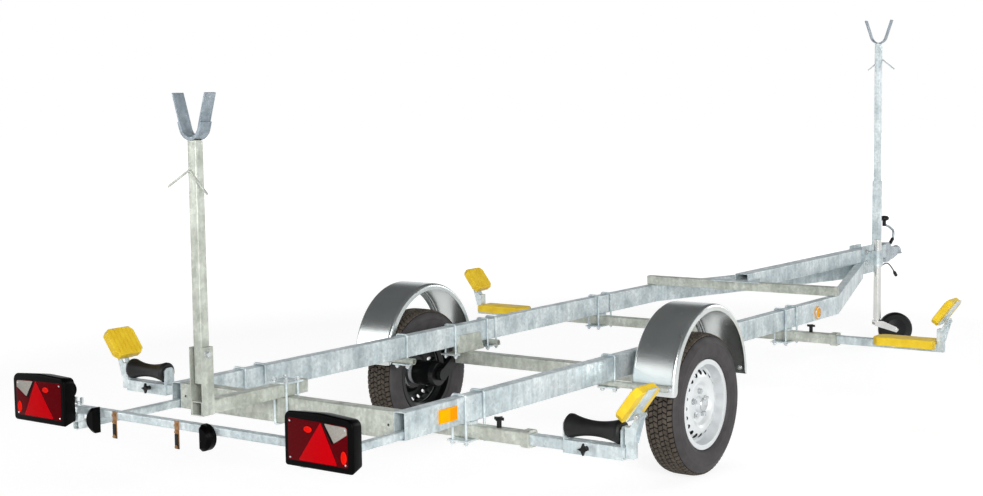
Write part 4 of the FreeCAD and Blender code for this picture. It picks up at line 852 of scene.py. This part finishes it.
def buildGrip():
    # A ribbed sleeve on the lever's lower run
    form = gripForm
    start, end = (Vector((station(along), 0, height)) for along, height in (form["start"], form["end"]))
    length = (end - start).length
    pitch = length / form["ribs"]
    dip = form["radius"] - form["groove"]
    profile = [(0.0, form["bore"])]
    for rib in range(form["ribs"]):
        low = pitch * rib
        crest = [(low + pitch * share, form["radius"]) for share in form["crest"]]
        profile += [(low + form["gap"], dip), *crest, (low + pitch - form["gap"], dip)]
    profile.append((length, form["bore"]))
    grip = spunProfile("coupling_grip", profile, start, (end - start).normalized(), steps=32)
    dress(grip, blackPlastic, "chassis")


buildGrip()
print("small fittings set")


# Floor, sky, lights and camera

# The floor's own glow fades near the trailer, where its shadow lies. The sky is bright up to the first
# height and dark from the second, which gives the rolled fenders their dark tops and bright ends.
stageLook = {"floorSize": 120, "floorDrop": 0.0005, "glow": 1.25,
             "fade": {"From Min": 4.0, "From Max": 9.0, "To Min": 0.66, "To Max": 1.0},
             "sky": {"From Min": 0.2, "From Max": 0.42, "To Min": 1.08, "To Max": 0.08}}


def buildStage():
    clearSelection()
    bpy.ops.mesh.primitive_plane_add(size=stageLook["floorSize"], location=(0, 0, -stageLook["floorDrop"]))
    floor = bpy.context.object
    floor.name = "pale_floor"
    material, tree, spot = newMaterial("pale_floor_paper")
    path = addNode(tree, "ShaderNodeLightPath")
    paper = addNode(tree, "ShaderNodeBsdfDiffuse", {"Color": hexColour("#f4f4f3")})
    glow = addNode(tree, "ShaderNodeEmission", {"Color": hexColour("#ffffff"), "Strength": stageLook["glow"]})
    seen = addNode(tree, "ShaderNodeMath", {"operation": "MAXIMUM"},
                   {0: path.outputs["Is Camera Ray"], 1: path.outputs["Is Glossy Ray"]})
    away = addNode(tree, "ShaderNodeVectorMath", {"operation": "LENGTH"}, {0: spot})
    fade = addNode(tree, "ShaderNodeMapRange", stageLook["fade"], {"Value": away.outputs["Value"]})
    share = addNode(tree, "ShaderNodeMath", {"operation": "MULTIPLY"}, {0: seen, 1: fade})
    mixed = addNode(tree, "ShaderNodeMixShader", links={"Fac": share, 1: paper, 2: glow})
    addNode(tree, "ShaderNodeOutputMaterial", links={"Surface": mixed})
    floor.data.materials.append(material)


def buildWorld():
    world = bpy.data.worlds.new("studio")
    bpy.context.scene.world = world
    tree = emptyTree(world)
    path = addNode(tree, "ShaderNodeLightPath")
    direction = addNode(tree, "ShaderNodeTexCoord").outputs["Generated"]
    lift = addNode(tree, "ShaderNodeSeparateXYZ", links={"Vector": direction})
    level = addNode(tree, "ShaderNodeMapRange", stageLook["sky"], {"Value": lift.outputs["Z"]})
    soft = addNode(tree, "ShaderNodeBackground", {"Color": hexColour("#f1f4f6")}, {"Strength": level})
    white = addNode(tree, "ShaderNodeBackground", {"Color": hexColour("#ffffff"), "Strength": 1.0})
    mixed = addNode(tree, "ShaderNodeMixShader",
                    links={"Fac": path.outputs["Is Camera Ray"], 1: soft, 2: white})
    addNode(tree, "ShaderNodeOutputWorld", links={"Surface": mixed})


# Each lamp's place, size in metres and power in watts
softboxes = {"key": ((-7.5, -6.5, 3.2), 4.0, 600), "fill": ((-7.5, 5.5, 3.0), 4.0, 110),
             "front": ((8.0, -4.0, 3.5), 4.0, 120), "above": ((0.0, 0.0, 7.0), 6.0, 120)}
lampTarget = Vector((0, 0, 0.4))


def buildLights():
    for name, (place, size, power) in softboxes.items():
        data = bpy.data.lights.new(name + "_softbox", "AREA")
        data.shape = "DISK"
        data.size = size
        data.energy = power
        lamp = bpy.data.objects.new(name + "_softbox", data)
        bpy.context.collection.objects.link(lamp)
        lamp.location = place
        lamp.rotation_euler = (lampTarget - Vector(place)).to_track_quat("-Z", "Y").to_euler()
        # The one above would show as a bright band on the fenders
        lamp.visible_glossy = name != "above"


cameraView = {"place": (-6.8822, -3.9044, 1.6073), "yaw": 0.6219, "pitch": 0.0936, "roll": -0.013,
              "lens": 57.05, "sensor": 36, "far": 200}


def buildCamera():
    view = cameraView
    level = Vector((math.cos(view["yaw"]), math.sin(view["yaw"]), 0))
    ahead = level * math.cos(view["pitch"]) - Vector((0, 0, math.sin(view["pitch"])))
    levelRight = ahead.cross(Vector((0, 0, 1))).normalized()
    levelUp = levelRight.cross(ahead)
    right = levelRight * math.cos(view["roll"]) + levelUp * math.sin(view["roll"])
    up = levelUp * math.cos(view["roll"]) - levelRight * math.sin(view["roll"])
    data = bpy.data.cameras.new("photo_camera")
    data.lens = view["lens"]
    data.sensor_width = view["sensor"]
    data.clip_end = view["far"]
    camera = bpy.data.objects.new("photo_camera", data)
    bpy.context.collection.objects.link(camera)
    turn = Matrix((right, up, -ahead)).transposed()
    camera.matrix_world = Matrix.Translation(Vector(view["place"])) @ turn.to_4x4()
    bpy.context.scene.camera = camera


buildStage()
buildWorld()
buildLights()
buildCamera()
bpy.context.scene.view_settings.view_transform = "Standard"
print("stage, lights and camera set")
